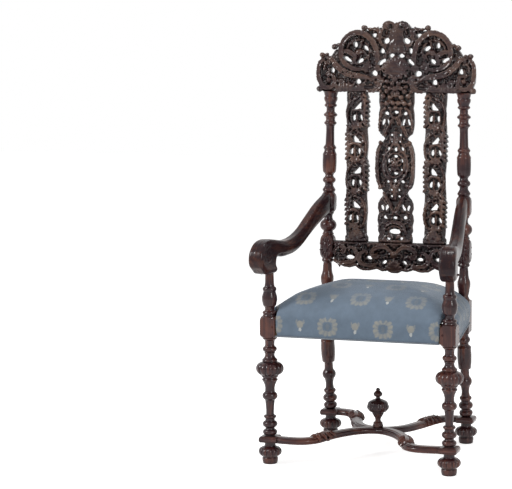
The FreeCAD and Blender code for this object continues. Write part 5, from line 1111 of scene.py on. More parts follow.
def centre_work():
    """The middle splat: medallion between two straps, scrolls, flowers and leaves."""
    work = Carving()
    for wide, tall, band, lift in ((41, 52, 3.6, 4.5), (35, 45, 1.8, 3.5), (29, 38, 3.2, 5.5)):
        turns = [math.radians(turn) for turn in range(0, 375, 15)]
        work.rib([(wide * math.cos(turn), 870 + tall * math.sin(turn), band, lift) for turn in turns],
                 both=False)
    for turn in range(0, 360, 45):
        across, up = math.cos(math.radians(turn)), math.sin(math.radians(turn))
        work.rib([(across * 4, 870 + up * 5, 3, 6), (across * 13, 870 + up * 16, 4.2, 6.5),
                  (across * 22 - up * 4, 870 + up * 28 + across * 5, 2.6, 4)], both=False)
        work.bead(across * 19 + up * 5, 870 + up * 24 - across * 6, 3, 4.5, both=False)
    work.bead(0, 870, 8, 8, both=False)
    work.bead(0, 870, 4, 12, both=False)
    side = [(34, 812, 3, 2), (46, 805, 5.5, 4), (54, 820, 6.5, 5.5), (57, 845, 6.5, 5.5), (58, 870, 6.5, 5.5),
            (57, 895, 6.5, 5.5), (54, 918, 6.5, 5.5), (46, 934, 5.5, 4), (34, 929, 3, 2)]
    work.channel(side)
    work.leaf(side[2:7], 9, 8, -1, lean=70)
    for z in (800, 940):
        work.bead(47, z, 7.5, 5.5)
        work.bead(47, z, 3.4, 10)
    for z, way in ((925, 1), (815, -1)):
        work.channel([(26, z - 8 * way, 3, 3), (14, z + 2 * way, 4, 5), (6, z + 14 * way, 4, 5),
                      (12, z + 24 * way, 3.4, 4), (22, z + 20 * way, 2.6, 3)])
        work.rib([(0, z - 2 * way, 2.4, 4), (0, z + 20 * way, 4.2, 6), (0, z + 44 * way, 3, 4)], both=False)
        for hand in (way, -way):
            work.leaf([(0, z + up * way, 3, 4) for up in (6, 26, 50)], 4, 12, hand, lean=58)
    for strap in ([(0, 1021, 7, 6), (12, 1008, 8, 7), (25, 985, 9, 7), (37, 958, 7, 5)],
                  [(38, 786, 7, 5), (27, 768, 9, 7), (14, 744, 9, 7), (2, 718, 8, 6)]):
        work.channel(strap, rim=0.24, floor=-0.6)
    for line, reach, hand in (
            ([(52, 960, 4, 2), (56, 985, 5, 4), (55, 1010, 5, 4), (52, 1040, 4, 3)], 10, 1),
            ([(52, 960, 4, 2), (50, 985, 5, 3), (50, 1010, 5, 4), (46, 1040, 4, 3)], 9, -1),
            ([(50, 780, 4, 2), (54, 755, 5, 4), (54, 730, 5, 4), (52, 705, 4, 3)], 10, 1),
            ([(48, 780, 4, 2), (48, 755, 5, 3), (50, 730, 5, 4), (50, 700, 4, 3)], 9, -1)):
        work.leaf(line, 8, reach, hand, lean=60)
    work.channel([(0, 694, 6, 5), (18, 690, 6.5, 6), (31, 677, 6, 5), (36, 656, 4.5, 4)])
    work.rib([(0, 681, 3, 4), (14, 678, 3.4, 5), (24, 668, 3, 4)])
    work.fan(0, 640, (-70, -50, 50, 70), 26, 3.8, 4, both=False)
    work.leaf([(40, 632, 4, 2), (50, 646, 5, 4), (52, 668, 5, 4), (50, 692, 4, 3)], 7, 10, -1, lean=60)
    work.rib([(-50, 634, 5, 3), (0, 633, 5, 4), (50, 634, 5, 3)], both=False)
    for x, z, radius in ((0, 1092, 12), (18, 1082, 9), (9, 1064, 8.5), (28, 1063, 9), (40, 1085, 9),
                         (46, 1061, 7), (28, 1101, 9), (0, 1049, 7.5), (50, 1100, 7), (18, 1047, 6),
                         (34, 1046, 6)):
        work.bead(x, z, radius, 5.5, both=bool(x))
    work.rib([(8, 1018, 3, 4), (16, 1034, 3.6, 5), (12, 1050, 3, 4)])
    work.rib([(48, 1022, 3, 4), (44, 1040, 3.6, 5), (30, 1046, 3, 4)])
    work.foliage(both_sides(CENTRE_OUTLINE), 6.0, 640.0, 5)
    return work


LOWER_EDGE = [
    (0, 532), (10, 532), (23, 539), (39, 536), (59, 543), (82, 537), (108, 538), (128, 550), (147, 544),
    (167, 548), (180, 555), (197, 560), (199, 562), (199, 629),
]
RAIL_OPENINGS = [(145, 578, 28, 12, -4, 2), (82, 578, 19, 10, 6, 2), (33, 566, 17, 9, -34, 2)]


def rail_work():
    """Running leaf scrolls of the back's lower rail, over its lobed edge."""
    work = Carving()
    work.rib([(0, 538, 4, 3), (10, 538, 4.5, 4), (24, 545, 4.5, 4), (40, 542, 4.5, 4), (59, 549, 4.5, 4),
              (82, 543, 4.5, 4), (108, 544, 4.5, 4), (128, 556, 4.5, 4), (147, 550, 4.5, 4), (167, 554, 4.5, 4),
              (182, 561, 4.5, 4), (197, 566, 4, 3)])
    work.rib([(0, 623, 4, 3), (100, 623, 4, 3), (198, 623, 4, 3)])
    first = [(2, 580, 4, 3), (10, 600, 6, 5), (28, 614, 7, 6), (52, 613, 7.5, 6.5), (70, 600, 7, 6),
             (68, 584, 6, 5), (56, 580, 5, 4), (50, 589, 4, 3)]
    second = [(54, 560, 4, 3), (72, 556, 6, 5), (96, 558, 7, 6), (110, 570, 7.5, 6.5), (108, 590, 7, 6),
              (94, 600, 6, 5), (84, 594, 4, 3)]
    third = [(197, 572, 5, 3), (180, 561, 7, 5), (158, 562, 7, 6), (134, 566, 6, 5), (120, 582, 6.5, 6),
             (124, 602, 6.5, 6), (142, 611, 6, 5), (152, 602, 4, 3)]
    fourth = [(197, 584, 4, 2), (190, 602, 6, 5), (174, 614, 6.5, 5), (160, 606, 6, 5), (164, 592, 5, 4),
              (176, 592, 3.6, 3)]
    for line, lobes, hand in ((first, 8, 1), (second, 7, -1), (third, 8, 1), (fourth, 6, 1)):
        work.channel(line)
        work.leaf(line[1:-1], lobes, 11, hand, lean=62)
        work.leaf(line[2:-2], lobes - 2, 9, -hand, lean=62)
    for x, z, radius in ((0, 592, 11), (59, 590, 6), (88, 590, 5), (146, 600, 5), (172, 598, 5), (112, 618, 6),
                         (82, 616, 6), (190, 616, 6)):
        work.bead(x, z, radius, 5, both=bool(x))
        work.bead(x, z, radius * 0.45, 5 + radius * 0.6, both=bool(x))
    work.fan(0, 540, (0, 18, 38, 60), lambda turn: 38 - turn * 0.12, 4.6, 4.5)
    for x, turn in ((40, 20), (60, 8), (98, -6), (120, -20), (150, 10), (176, 22)):
        work.rib([(x, 547, 3, 3), (x + turn * 0.15, 555, 3.6, 4.5), (x + turn * 0.4, 563, 2.6, 3)])
    work.foliage(both_sides(LOWER_EDGE), 6.0, 546.0, 11, 11.0)
    return work


class ARMCHAIR_OT_splats(bpy.types.Operator):
    """The three pierced splats: scrolled leaves at the sides, the medallion in the middle"""
    bl_idname = "armchair.splats"
    bl_label = "Splats"

    def execute(self, context):
        voxel = context.scene.armchair_carving.voxel / MM
        left = carved("carved_splat_left", side_work(), side_outline(), side_openings(), SPLAT_PLANES, voxel)
        standing(left, -SIDE_SPLAT_X, 0)
        right = mirrored(left, "carved_splat_right")
        middle = carved("carved_splat_center", centre_work(), both_sides(CENTRE_OUTLINE),
                        both_hands(CENTRE_OPENINGS), SPLAT_PLANES, voxel)
        for piece in (left, right, middle):
            smooth(moved(piece, back_matrix()), 60)
            dressed(piece, walnut_of("splat"), "carved_walnut", piece.name.replace("carved_", ""))
        return {"FINISHED"}


class ARMCHAIR_OT_lower_rail(bpy.types.Operator):
    """The lobed and pierced lower rail of the back"""
    bl_idname = "armchair.lower_rail"
    bl_label = "Lower Rail"

    def execute(self, context):
        piece = carved("carved_lower_rail", rail_work(), both_sides(LOWER_EDGE), both_hands(RAIL_OPENINGS),
                       RAIL_PLANES, context.scene.armchair_carving.voxel / MM)
        dressed(moved(piece, back_matrix()), walnut_of("crest"), "carved_walnut", "back_lower_rail")
        return {"FINISHED"}


# Arms: the side view, u along the arm from the rear block and z up
ARM_PROFILE = [
    (0, 779), (14, 777), (38, 768), (66, 757), (96, 742), (145, 714), (187, 690), (229, 674), (269, 666),
    (303, 664.5), (330, 667), (362, 672), (392, 677), (418, 679), (440, 676.5), (458, 670), (473, 657.5),
    (482, 645), (486, 630), (486, 615), (481, 603), (471, 594.5), (464, 589), (457, 583), (446, 579),
    (425, 577.5), (398, 577), (385, 577.5), (378, 581), (375, 588), (378, 595), (384, 602), (383, 613),
    (378, 621), (364, 622.5), (338, 619), (303, 618), (250, 622), (202, 636), (146, 662), (103, 681), (60, 697),
    (10, 713), (0, 716),
]
ARM_RUN, ARM_START = 495.0, (218.35, 204.58)
ARM_SPLAY = 8.556
ARM_HALF, ARM_TAIL_HALF = 25.0, 17.0
HOLD_START, HOLD_BLEND = 300, 70


def arm_half_width(along):
    """Half the arm's width, which grows from its tail to the scroll."""
    return ARM_TAIL_HALF + (ARM_HALF - ARM_TAIL_HALF) * min(1.0, max(0.0, along / ARM_RUN))


def scroll_flutes():
    """Five soft flutes over the hand hold's front and five under it, sunk till little stands proud."""
    lines = []
    over = [(386, 676), (405, 678.5), (424, 678.8), (441, 676.3), (458, 670), (471, 659.5), (480.5, 647),
            (485.5, 632), (485.5, 617), (481, 604)]
    under = [(471, 595), (463, 589), (456, 583), (445, 579), (425, 577.5), (402, 577)]
    for path, radius, middle in ((over, 5.0, (430, 634)), (under, 4.6, (425, 606))):
        for share in (0, 0.25, 0.5, 0.75, 1):
            across = (share - 0.5) * (2 * ARM_HALF - 17)
            side = 2.4 * abs(share * 2 - 1) ** 2
            points = []
            for step, (along, level) in enumerate(path):
                swell = math.sin(math.pi * (step + 0.5) / len(path)) ** 0.6
                way = Vector((middle[0] - along, middle[1] - level)).normalized()
                inward = way * (radius + side - 1.2 * swell)
                points.append((along + inward.x, across, level + inward.y, radius))
            lines.append(points)
    return lines


def flank_scroll():
    """A flat spiral for the flank of the scroll, as (along, level, radius)."""
    middle, radius, turns, wide, count = (438, 637), 24, 1.7, 2.2, 44
    points = []
    for number in range(count + 1):
        share = number / count
        turn = math.radians(110 - 360 * turns * share)
        reach = radius * (1 - share) ** 0.8 + 2.5
        points.append((middle[0] + reach * math.cos(turn), middle[1] + reach * math.sin(turn),
                       wide * (1 - 0.35 * share)))
    return points


def rounded_over(piece, outline):
    """Takes the arm's long edges off: an oval section behind, a softened one at the hand hold."""
    ring = KDTree(len(outline))
    for number, (along, level) in enumerate(outline):
        ring.insert((along, level, 0), number)
    ring.balance()
    edit(piece)
    mesh = bmesh.from_edit_mesh(piece.data)
    for vert in mesh.verts:
        along, level = vert.co.x / MM, vert.co.z / MM
        near = ring.find((along, level, 0))[2]
        front = min(1.0, max(0.0, (along - HOLD_START) / HOLD_BLEND))
        round_in, round_side = 21 - 8 * front, 14 - 4 * front
        part = 1 - min(1.0, near / round_in)
        width = arm_half_width(along) - round_side * (1 - math.sqrt(1 - part * part))
        vert.co.y = math.copysign(min(abs(vert.co.y) / MM, width), vert.co.y) * MM
    bmesh.update_edit_mesh(piece.data)
    bpy.ops.object.mode_set(mode="OBJECT")
    return piece


class ARMCHAIR_OT_arms(bpy.types.Operator):
    """The two down-swept arms, scrolled over and fluted at the hand"""
    bl_idname = "armchair.arms"
    bl_label = "Arms"

    def execute(self, context):
        settings = context.scene.armchair_carving
        outline = [(spot.x, spot.y) for spot in through([(u, z, 1, 0) for u, z in ARM_PROFILE], 5.0)]
        plank = board("arm_board", [outline], -ARM_HALF, ARM_HALF)
        remeshed(plank, settings.voxel * 1.4)
        dense = [(spot.x, spot.y) for spot in through([(u, z, 1, 0) for u, z in outline + outline[:1]], 1.5)]
        rounded_over(plank, dense)
        lines = scroll_flutes()
        for flank in (-1, 1):
            lines.append([(u, flank * (arm_half_width(u) - 1.2), z, radius) for u, z, radius in flank_scroll()])
        piece = united("arm", [plank, strokes("arm_strokes", lines)])
        remeshed(piece, settings.voxel)
        finished(piece, "SMOOTH", factor=0.5, iterations=3)
        smooth(piece, 60)
        splay = math.radians(ARM_SPLAY)
        along = Vector((math.sin(splay), -math.cos(splay), 0))
        across = Vector((math.cos(splay), math.sin(splay), 0))
        place = Matrix.Translation((ARM_START[0] * MM, ARM_START[1] * MM, 0))
        place @= Matrix((along, across, (0, 0, 1))).transposed().to_4x4()
        right = moved(united("scrolled_arm_right", [piece]), place)
        left = mirrored(right, "scrolled_arm_left")
        for hand, arm in (("right", right), ("left", left)):
            dressed(smooth(arm, 60), walnut_of("arm"), "carved_walnut", "arm_" + hand)
        return {"FINISHED"}


# Stretcher: its moulded section, and the plans of its arms from the line of the front feet
STRETCHER_SECTION = [
    (-19, 66), (-19, 70.5), (-17.4, 72), (-18, 75), (-16.2, 78.6), (-13.2, 80.2), (-13.2, 81.6), (-10, 82.2),
    (-8, 83.8), (8, 83.8), (10, 82.2), (13.2, 81.6), (13.2, 80.2), (16.2, 78.6), (18, 75), (17.4, 72),
    (19, 70.5), (19, 66),
]
SECTION_LEVEL, LOWER_FALL = 75.0, 0.35
FRONT_ARM = [(268, 0), (225, -6), (178, -4), (147, 22), (129, 72), (106, 122), (72, 170), (34, 200), (0, 209.8)]
REAR_ARM = [(0, 209.8), (36, 222), (70, 253), (94, 304), (110, 350), (129, 400), (152, 431), (184, 441),
            (214, 437)]
CUSP_SPANS = [((151, 12), (115, 112), (104, 57)), ((103, 335), (140, 425), (87, 371))]


def stretcher_line(side):
    """The plan of one diagonal, from its front foot through the crossing to its rear foot."""
    spots = [(side * x, y + FRONT_Y, 1, 0) for x, y in FRONT_ARM]
    spots += [(-side * x, y + FRONT_Y, 1, 0) for x, y in REAR_ARM[1:]]
    return through(spots, 4.0)


def stretcher_leaves(side):
    """A leaf rolled over each bend of one diagonal, whose tips curl past its edges."""
    line = stretcher_line(side)
    lines = []
    for (start, end, eye), hand in zip(CUSP_SPANS, (side, -side)):
        def nearest(spot):
            return min(range(len(line)), key=lambda n: math.hypot(line[n].x - hand * spot[0],
                                                                  line[n].y - spot[1] - FRONT_Y))
        first, last = sorted((nearest(start), nearest(end)))
        ridge = line[first:last + 1]
        count = len(ridge) - 1
        swells = [math.sin(math.pi * n / count) for n in range(count + 1)]
        lines.append([(s.x, s.y, 80.0 + 3.5 * swell, 2.0 + 6.5 * swell) for s, swell in zip(ridge, swells)])
        for share in (0.2, 0.4, 0.6, 0.8):
            n = int(share * count)
            here, ahead = ridge[n], (ridge[n + 1] - ridge[n]).xy.normalized()
            outward = Vector((-ahead.y, ahead.x))
            if (Vector((eye[0] * hand, eye[1] + FRONT_Y)) - here.xy).dot(outward) < 0:
                outward = -outward
            swell = math.sin(math.pi * share)
            for way, reach in ((outward, 15 + 9 * swell), (-outward, 15 + 4 * swell)):
                bend = ahead * (share - 0.5) * 1.3
                steps = ((0.0, 82.0, 5.0), (0.4, 84.0, 6.4), (0.75, 80.5, 5.6), (1.0, 75.5, 3.6),
                         (1.14, 71.5, 1.3))
                lines.append([(*(here.xy + (way + bend * t) * reach * t), z, r) for t, z, r in steps])
        x, y = eye[0] * hand, eye[1] + FRONT_Y
        x += (line[(first + last) // 2].x - x) * 0.32
        for radius, height in ((8.0, 72.0), (6.0, 77.0)):
            lines.append([(x, y - 1.5, height, radius), (x, y + 1.5, height, radius)])
    return lines


def pad(name, x, y):
    """The moulded square end of a stretcher, on which a leg stands."""
    parts = []
    for low, high, width, soft in ((66.0, 69.6, 52.0, 1.2), (69.0, 79.5, 56.0, 2.6), (79.0, 82.2, 52.5, 1.0),
                                   (81.8, 84.0, 48.0, 0.8)):
        parts.append(finished(box(low, high, width, x, y), "BEVEL", width=soft * MM, segments=3))
    return united(name, parts)


class ARMCHAIR_OT_stretchers(bpy.types.Operator):
    """The two serpentine diagonals of the X stretcher, moulded and carved at their bends"""
    bl_idname = "armchair.stretchers"
    bl_label = "Stretchers"

    def execute(self, context):
        for name, side, fall in (("lower", -1, LOWER_FALL), ("upper", 1, 0.0)):
            bpy.ops.object.select_all(action="DESELECT")
            bpy.ops.curve.primitive_bezier_circle_add()
            section = fresh()
            section.data.splines.clear()
            polyline(section.data, [(x, z - SECTION_LEVEL, 0, 1) for x, z in STRETCHER_SECTION], closed=True)
            bpy.ops.object.select_all(action="DESELECT")
            bpy.ops.curve.primitive_nurbs_path_add(location=(0, 0, 0))
            sweep = fresh()
            sweep.data.splines.clear()
            polyline(sweep.data, [(s.x, s.y, SECTION_LEVEL - fall, 1) for s in stretcher_line(side)])
            sweep.data.twist_mode = "Z_UP"
            sweep.data.bevel_mode = "OBJECT"
            sweep.data.bevel_object = section
            sweep.data.use_fill_caps = True
            bpy.ops.object.convert(target="MESH")
            sweep = tidy(sweep)
            bpy.data.objects.remove(section)
            parts = [sweep, strokes("leaves", stretcher_leaves(side)),
                     pad("front_pad", side * FRONT_X, FRONT_Y), pad("rear_pad", -side * REAR_X, REAR_FOOT_Y)]
            piece = smooth(tidy(united("moulded_stretcher_" + name, parts)), 38)
            dressed(piece, walnut_of("stretcher"), "carved_walnut", "stretcher_diagonal_" + name)
        return {"FINISHED"}


# Seat: height from the lower edge to the crown, and how far the side stands out from the rail.
# Its welt lies under its edge; the dome starts at one height and is full a little above it
SEAT_ROWS = [
    (378, 2.4), (387, 2.4), (395, 3.4), (408, 5.6), (424, 7.4), (436, 7.2), (447, 6.0), (457, 2.0), (466, -8.5),
    (474, -19), (483, -31), (492, -44), (501, -60), (509, -80), (516, -104), (522, -133), (526, -160),
    (529, -190),
]
SEAT_EDGE, SEAT_HOLLOW = 387.2, 449.3
WELT_LEVEL, WELT_RADIUS = 389.6, 2.3
DOME_START, DOME_BLEND, CORNER_DROP, BACK_DROP = 453, 45, 18, 4
RAIL_HALF = 17.0
SEAT_CORNER = 21.0
SEAT_LEAN = (FRONT_X - REAR_X) / SEAT_LENGTH


def seat_plan(outset, corner=SEAT_CORNER, steps=5):
    """The seat's outline seen from above, the rails' outer faces moved out by a distance."""
    half = RAIL_HALF + outset
    front_y, rear_y = FRONT_Y - half, REAR_Y + half
    front_x = FRONT_X + half + half * SEAT_LEAN
    rear_x = REAR_X + half - half * SEAT_LEAN
    corners = [Vector(p) for p in ((-front_x, front_y), (front_x, front_y), (rear_x, rear_y),
                                   (-rear_x, rear_y))]
    outline = []
    for number, here in enumerate(corners):
        back = (corners[number - 1] - here).normalized()
        ahead = (corners[(number + 1) % 4] - here).normalized()
        turn = (math.pi - back.angle(ahead)) / 2
        reach = corner * math.tan(turn)
        centre = here + (back + ahead).normalized() * corner / math.cos(turn)
        first = here + back * reach - centre
        sweep = first.angle_signed(here + ahead * reach - centre)
        begin = math.atan2(first.y, first.x)
        for step in range(steps + 1):
            angle = begin - sweep * step / steps
            outline.append(centre + Vector((math.cos(angle), math.sin(angle))) * corner)
    return outline


def ring_walk(outline, pace):
    """Adds points to an outline so that none is further from the next than the pace."""
    walked = []
    for here, there in zip(outline, outline[1:] + outline[:1]):
        count = max(1, round((there - here).length / pace))
        walked += [here.lerp(there, step / count) for step in range(count)]
    return walked


def plate(name, outline, low):
    """A flat face through a closed outline of (x, y), left open in edit mode."""
    bpy.ops.object.select_all(action="DESELECT")
    bpy.ops.mesh.primitive_circle_add(vertices=len(outline), radius=1, fill_type="NGON")
    piece = fresh(name)
    for vert, spot in zip(piece.data.vertices, outline):
        vert.co = (spot[0] * MM, spot[1] * MM, low * MM)
    return edit(piece)


def raised(by):
    """Extrudes what is selected upwards."""
    bpy.ops.mesh.extrude_region_move(TRANSFORM_OT_translate={"value": (0, 0, by * MM)})


def prism(name, outline, low, high):
    """An upright prism through a closed outline of (x, y)."""
    piece = plate(name, outline, low)
    raised(high - low)
    return tidy(piece)


def seat_body(name, rows):
    """The seat's crowned form, raised ring by ring from its plan and drawn in as it rises."""
    piece = plate(name, ring_walk(seat_plan(rows[0][1]), 24.0), rows[0][0])
    for (low, was), (high, now) in zip(rows, rows[1:]):
        raised(high - low)
        sizes = []
        for outset in (was, now):
            spots = seat_plan(outset)
            sizes.append((max(p.x for p in spots), max(p.y for p in spots) - SEAT_MIDDLE))
        bpy.ops.transform.resize(value=(sizes[1][0] / sizes[0][0], sizes[1][1] / sizes[0][1], 1),
                                 center_override=(0, SEAT_MIDDLE * MM, high * MM))
    return tidy(piece)


def domed(piece):
    """Lifts the crown a little and lets the seat fall away to its corners and its back."""
    half_front, half_rear, half_length = 294, 239, 216
    outer_y, outer_length = FRONT_Y - RAIL_HALF, SEAT_LENGTH + 2 * RAIL_HALF
    for vert in piece.data.vertices:
        x, y, z = (value / MM for value in vert.co)
        rise = min(1.0, max(0.0, (z - DOME_START) / DOME_BLEND))
        half_x = half_front - (half_front - half_rear) * (y - outer_y) / outer_length
        corner = min(1.0, abs(x) / half_x) * min(1.0, abs(y - SEAT_MIDDLE) / half_length)
        back = max(0.0, (y - SEAT_MIDDLE) / half_length)
        fall = corner ** 2 * (CORNER_DROP - 2 * CORNER_DROP * back)
        vert.co.z += rise * (1 - fall - BACK_DROP * back ** 1.5) * MM
    return piece


def notched(piece, slack):
    """Cuts the corners of a seat piece away round the four posts."""
    for side in SIDES.values():
        for spread, block_width, y, inward in ((FRONT_X, FRONT_SQUARE, FRONT_Y, 1),
                                               (REAR_X, REAR_SQUARE, REAR_Y, -1)):
            half = block_width / 2 + slack
            x, edge_y = side * (spread - half), y + half * inward
            bpy.ops.object.select_all(action="DESELECT")
            bpy.ops.mesh.primitive_cube_add(size=1, scale=(0.2, 0.2, 0.5), location=(
                x * MM + side * 0.1, edge_y * MM - inward * 0.1, 0.46))
            cut(piece, settled(fresh()))
    return piece


def puffed(piece, frames, pressure, limit):
    """Fills the pad with air like stuffing, and keeps each point near where it was cut."""
    start = [vert.co.copy() for vert in piece.data.vertices]
    select_only(piece)
    cloth = piece.modifiers.new("Cloth", "CLOTH")
    cloth.settings.effector_weights.gravity = 0
    cloth.settings.use_pressure, cloth.settings.uniform_pressure_force = True, pressure
    cloth.settings.quality, cloth.settings.mass = 4, 0.25
    cloth.point_cache.frame_start, cloth.point_cache.frame_end = 1, frames
    for frame_number in range(1, frames + 1):
        bpy.context.scene.frame_set(frame_number)
    bpy.ops.object.modifier_apply(modifier=cloth.name)
    bpy.context.scene.frame_set(1)
    for vert, was in zip(piece.data.vertices, start):
        step = vert.co - was
        reach = limit(was)
        vert.co = was + (step.normalized() * min(step.length, reach) if step.length > 1e-9 else step)
    return piece


def free_of_posts(spot):
    """How far a point of the seat may move in metres: not near the posts or at its lower edge."""
    still, give, low, over, most = 0.045, 0.06, 0.395, 0.07, 0.0055
    near = min((Vector((spot.x, spot.y)) - Vector((side * x * MM, y * MM))).length
               for side in SIDES.values() for x, y in ((FRONT_X, FRONT_Y), (REAR_X, REAR_Y)))
    room = min(1.0, max(0.0, (near - still) / give))
    rise = min(1.0, max(0.0, (spot.z - low) / over))
    return most * room * rise


def mark_cloth(piece):
    """Stores how the damask lies: its own width and length at each point, in metres.

    Under the crown's edge it falls straight down, and the share tells the sides from the ends.
    """
    lay = piece.data.attributes.new("damask_lay", "FLOAT_VECTOR", "POINT")
    edge, past, blend, stretched = 0.452, 0.004, 0.02, 1.05
    values = []
    for vert in piece.data.vertices:
        spot = vert.co
        drop = min(0.0, spot.z - edge)
        half_x = (FRONT_X - (spot.y / MM - FRONT_Y) * SEAT_LEAN + RAIL_HALF) * MM
        side = min(abs(spot.x) - half_x, past) / blend
        end = max(FRONT_Y * MM - RAIL_HALF * MM - spot.y, spot.y - REAR_Y * MM - RAIL_HALF * MM)
        ahead = min(end, past) / blend
        share = 1 / (1 + math.exp(-6 * (side - ahead)))
        along = (spot.y - (FRONT_Y - RAIL_HALF) * MM) * stretched
        way = 1 if spot.y < SEAT_MIDDLE * MM else -1
        values += [spot.x - math.copysign(drop, spot.x) * share, along + drop * way * (1 - share), 0.0]
    lay.data.foreach_set("vector", values)


def damask(name, blue, gold):
    """Faded silk damask: wreaths in half-drop rows with a small bud between, ribbed weave."""
    cloth = Tree(name)
    lay = cloth.node("Attribute", attribute_name="damask_lay").outputs["Vector"]
    blur = cloth.noise(190.0, 2.0, 0.5, source=lay)
    split = cloth.node("SeparateXYZ", {0: lay})
    wander = cloth.times(cloth.minus(blur, 0.5), 0.009)
    across, along = cloth.plus(split.outputs[0], wander), cloth.plus(split.outputs[1], wander)
    first, row_height, half_pitch = 0.03, 0.09, 0.085
    row = cloth.math("FLOOR", cloth.math("DIVIDE", cloth.plus(along, first + row_height / 2), row_height))
    shift = cloth.times(cloth.math("MODULO", cloth.plus(row, 10.0), 2.0), half_pitch)
    cell_v = cloth.minus(cloth.plus(along, first), cloth.times(row, row_height))
    placed = cloth.plus(across, shift)

    def cell(offset):
        return cloth.math("WRAP", cloth.plus(placed, offset), half_pitch, -half_pitch)

    def oval(u, v, wide, tall, power=2.0):
        far = [cloth.math("POWER", cloth.math("ABSOLUTE", cloth.math("DIVIDE", part, size)), power)
               for part, size in ((u, wide), (v, tall))]
        return cloth.math("POWER", cloth.plus(*far), 1 / power)

    def soft(value, low, high):
        return cloth.node("MapRange", {0: value, 1: low, 2: high, 3: 1.0, 4: 0.0},
                          interpolation_type="SMOOTHSTEP").outputs[0]

    u = cell(-0.0805)
    angle = cloth.math("ARCTAN2", cell_v, u)
    petals = cloth.math("ABSOLUTE", cloth.math("SINE", cloth.times(angle, 6.0)))
    reach = cloth.math("DIVIDE", oval(u, cell_v, 0.031, 0.029, 3.2),
                       cloth.plus(cloth.times(petals, 0.11), 0.91))
    wreath = cloth.times(soft(reach, 0.88, 1.06), cloth.minus(1.0, soft(reach, 0.4, 0.6)))
    veins = cloth.plus(cloth.times(petals, 0.5), 0.5)
    wreath = cloth.times(wreath, veins)
    gap = cloth.times(soft(oval(u, cloth.minus(cell_v, 0.030), 0.007, 0.012), 0.7, 1.2), 0.75)
    wreath = cloth.times(wreath, cloth.minus(1.0, gap))
    heart = soft(oval(u, cloth.plus(cell_v, 0.001), 0.0065, 0.011), 0.75, 1.1)
    bud_u = cell(0.0045)
    bud = soft(oval(bud_u, cloth.minus(cell_v, 0.003), 0.0115, 0.0135), 0.72, 1.05)
    tip = soft(oval(bud_u, cloth.plus(cell_v, 0.0135), 0.0045, 0.006), 0.7, 1.1)
    leafy = soft(oval(cloth.minus(cloth.math("ABSOLUTE", bud_u), 0.011),
                      cloth.minus(cell_v, 0.011), 0.0035, 0.009), 0.6, 1.1)
    figure = cloth.math("MAXIMUM", wreath, cloth.math("MAXIMUM", bud, cloth.times(leafy, 0.6)))
    figure = cloth.math("MAXIMUM", figure, cloth.times(heart, 0.3))
    worn = cloth.noise(26.0, 4.0, 0.6, source=lay)
    figure = cloth.times(figure, cloth.plus(cloth.times(worn, 0.9), 0.25))
    figure = cloth.times(figure, cloth.ramp(cloth.times(along, 5.0), (0.1, 1.0), (0.4, 0.5)))
    ground = cloth.blend(cloth.ramp(worn, (0.35, 0.0), (0.7, 1.0)), shaded(blue, 0.9), shaded(blue, 1.1))
    color = cloth.blend(figure, ground, gold)
    color = cloth.blend(cloth.times(tip, 0.7), color, (0.5, 0.5, 0.47))
    deep = cloth.times(soft(oval(u, cell_v, 0.014, 0.014), 0.5, 1.1), 0.35)
    color = cloth.blend(deep, color, shaded(blue, 0.55))
    ribs = cloth.node("TexWave", {"Vector": lay, "Scale": 420.0, "Distortion": 0.6},
                      bands_direction="Y").outputs["Fac"]
    floats = cloth.node("TexWave", {"Vector": lay, "Scale": 520.0, "Distortion": 1.5},
                        bands_direction="X").outputs["Fac"]
    weave = cloth.plus(cloth.times(ribs, 0.7), cloth.times(floats, 0.5))
    bumped = cloth.bump(weave, 0.28, 0.0004)
    bumped = cloth.bump(figure, 0.35, 0.0006, bumped)
    puckers = cloth.noise(22.0, 3.0, 0.5, (1, 1, 0.5))
    bumped = cloth.bump(puckers, 0.25, 0.004, bumped)
    return cloth.finish(Base_Color=color, Normal=bumped, Sheen_Weight=0.25, Sheen_Roughness=0.45,
                        Specular_IOR_Level=0.3, Roughness=cloth.minus(0.74, cloth.times(figure, 0.16)))


def woven(name, warp, weft, pitch):
    """Plain linen or hessian: over and under threads with gaps of shade."""
    cloth = Tree(name)
    over = cloth.times(*(cloth.node("TexWave", {"Vector": cloth.place, "Scale": pitch, "Distortion": 0.8},
                                    bands_direction=way).outputs["Fac"] for way in "XY"))
    patches = cloth.noise(30.0)
    color = cloth.blend(patches, warp, weft)
    color = cloth.blend(cloth.minus(1.0, over), color, shaded(warp, 0.45))
    return cloth.finish(Base_Color=color, Normal=cloth.bump(over, 0.5, 0.0006), Sheen_Weight=0.15,
                        Roughness=cloth.plus(cloth.times(patches, 0.15), 0.8))


class SeatSettings(bpy.types.PropertyGroup):
    fineness: bpy.props.FloatProperty(
        name="Cloth fineness", description="Size of the cushion's quads before its subdivision",
        subtype="DISTANCE", unit="LENGTH", default=0.0064, min=0.004, max=0.015)
    pressure: bpy.props.FloatProperty(
        name="Stuffing", description="Pressure that fills the cushion", default=4.0, min=0, max=10)


class ARMCHAIR_OT_seat(bpy.types.Operator):
    """The stuffed seat in its damask cover, swollen between the posts"""
    bl_idname = "armchair.seat"
    bl_label = "Seat"

    def execute(self, context):
        settings = context.scene.armchair_seat
        seat = notched(seat_body("damask_seat", SEAT_ROWS), 1.2)
        domed(remeshed(seat, settings.fineness))
        puffed(seat, 20, settings.pressure, free_of_posts)
        finished(seat, "SMOOTH", factor=0.5, iterations=3)
        finished(seat, "SUBSURF", levels=1)
        for outset, corner, top in ((60.0, 4.0, SEAT_EDGE), (0.7, 4.0, SEAT_HOLLOW)):
            cut(seat, prism("hollow", seat_plan(outset, corner), 300.0, top))
        tidy(seat, 1e-5)
        mark_cloth(seat)
        smooth(seat, 50)
        finish = damask("seat damask", color_of("damask_blue"), color_of("damask_gold"))
        dressed(seat, finish, "damask", "seat_cover", "seat_stuffing")
        return {"FINISHED"}


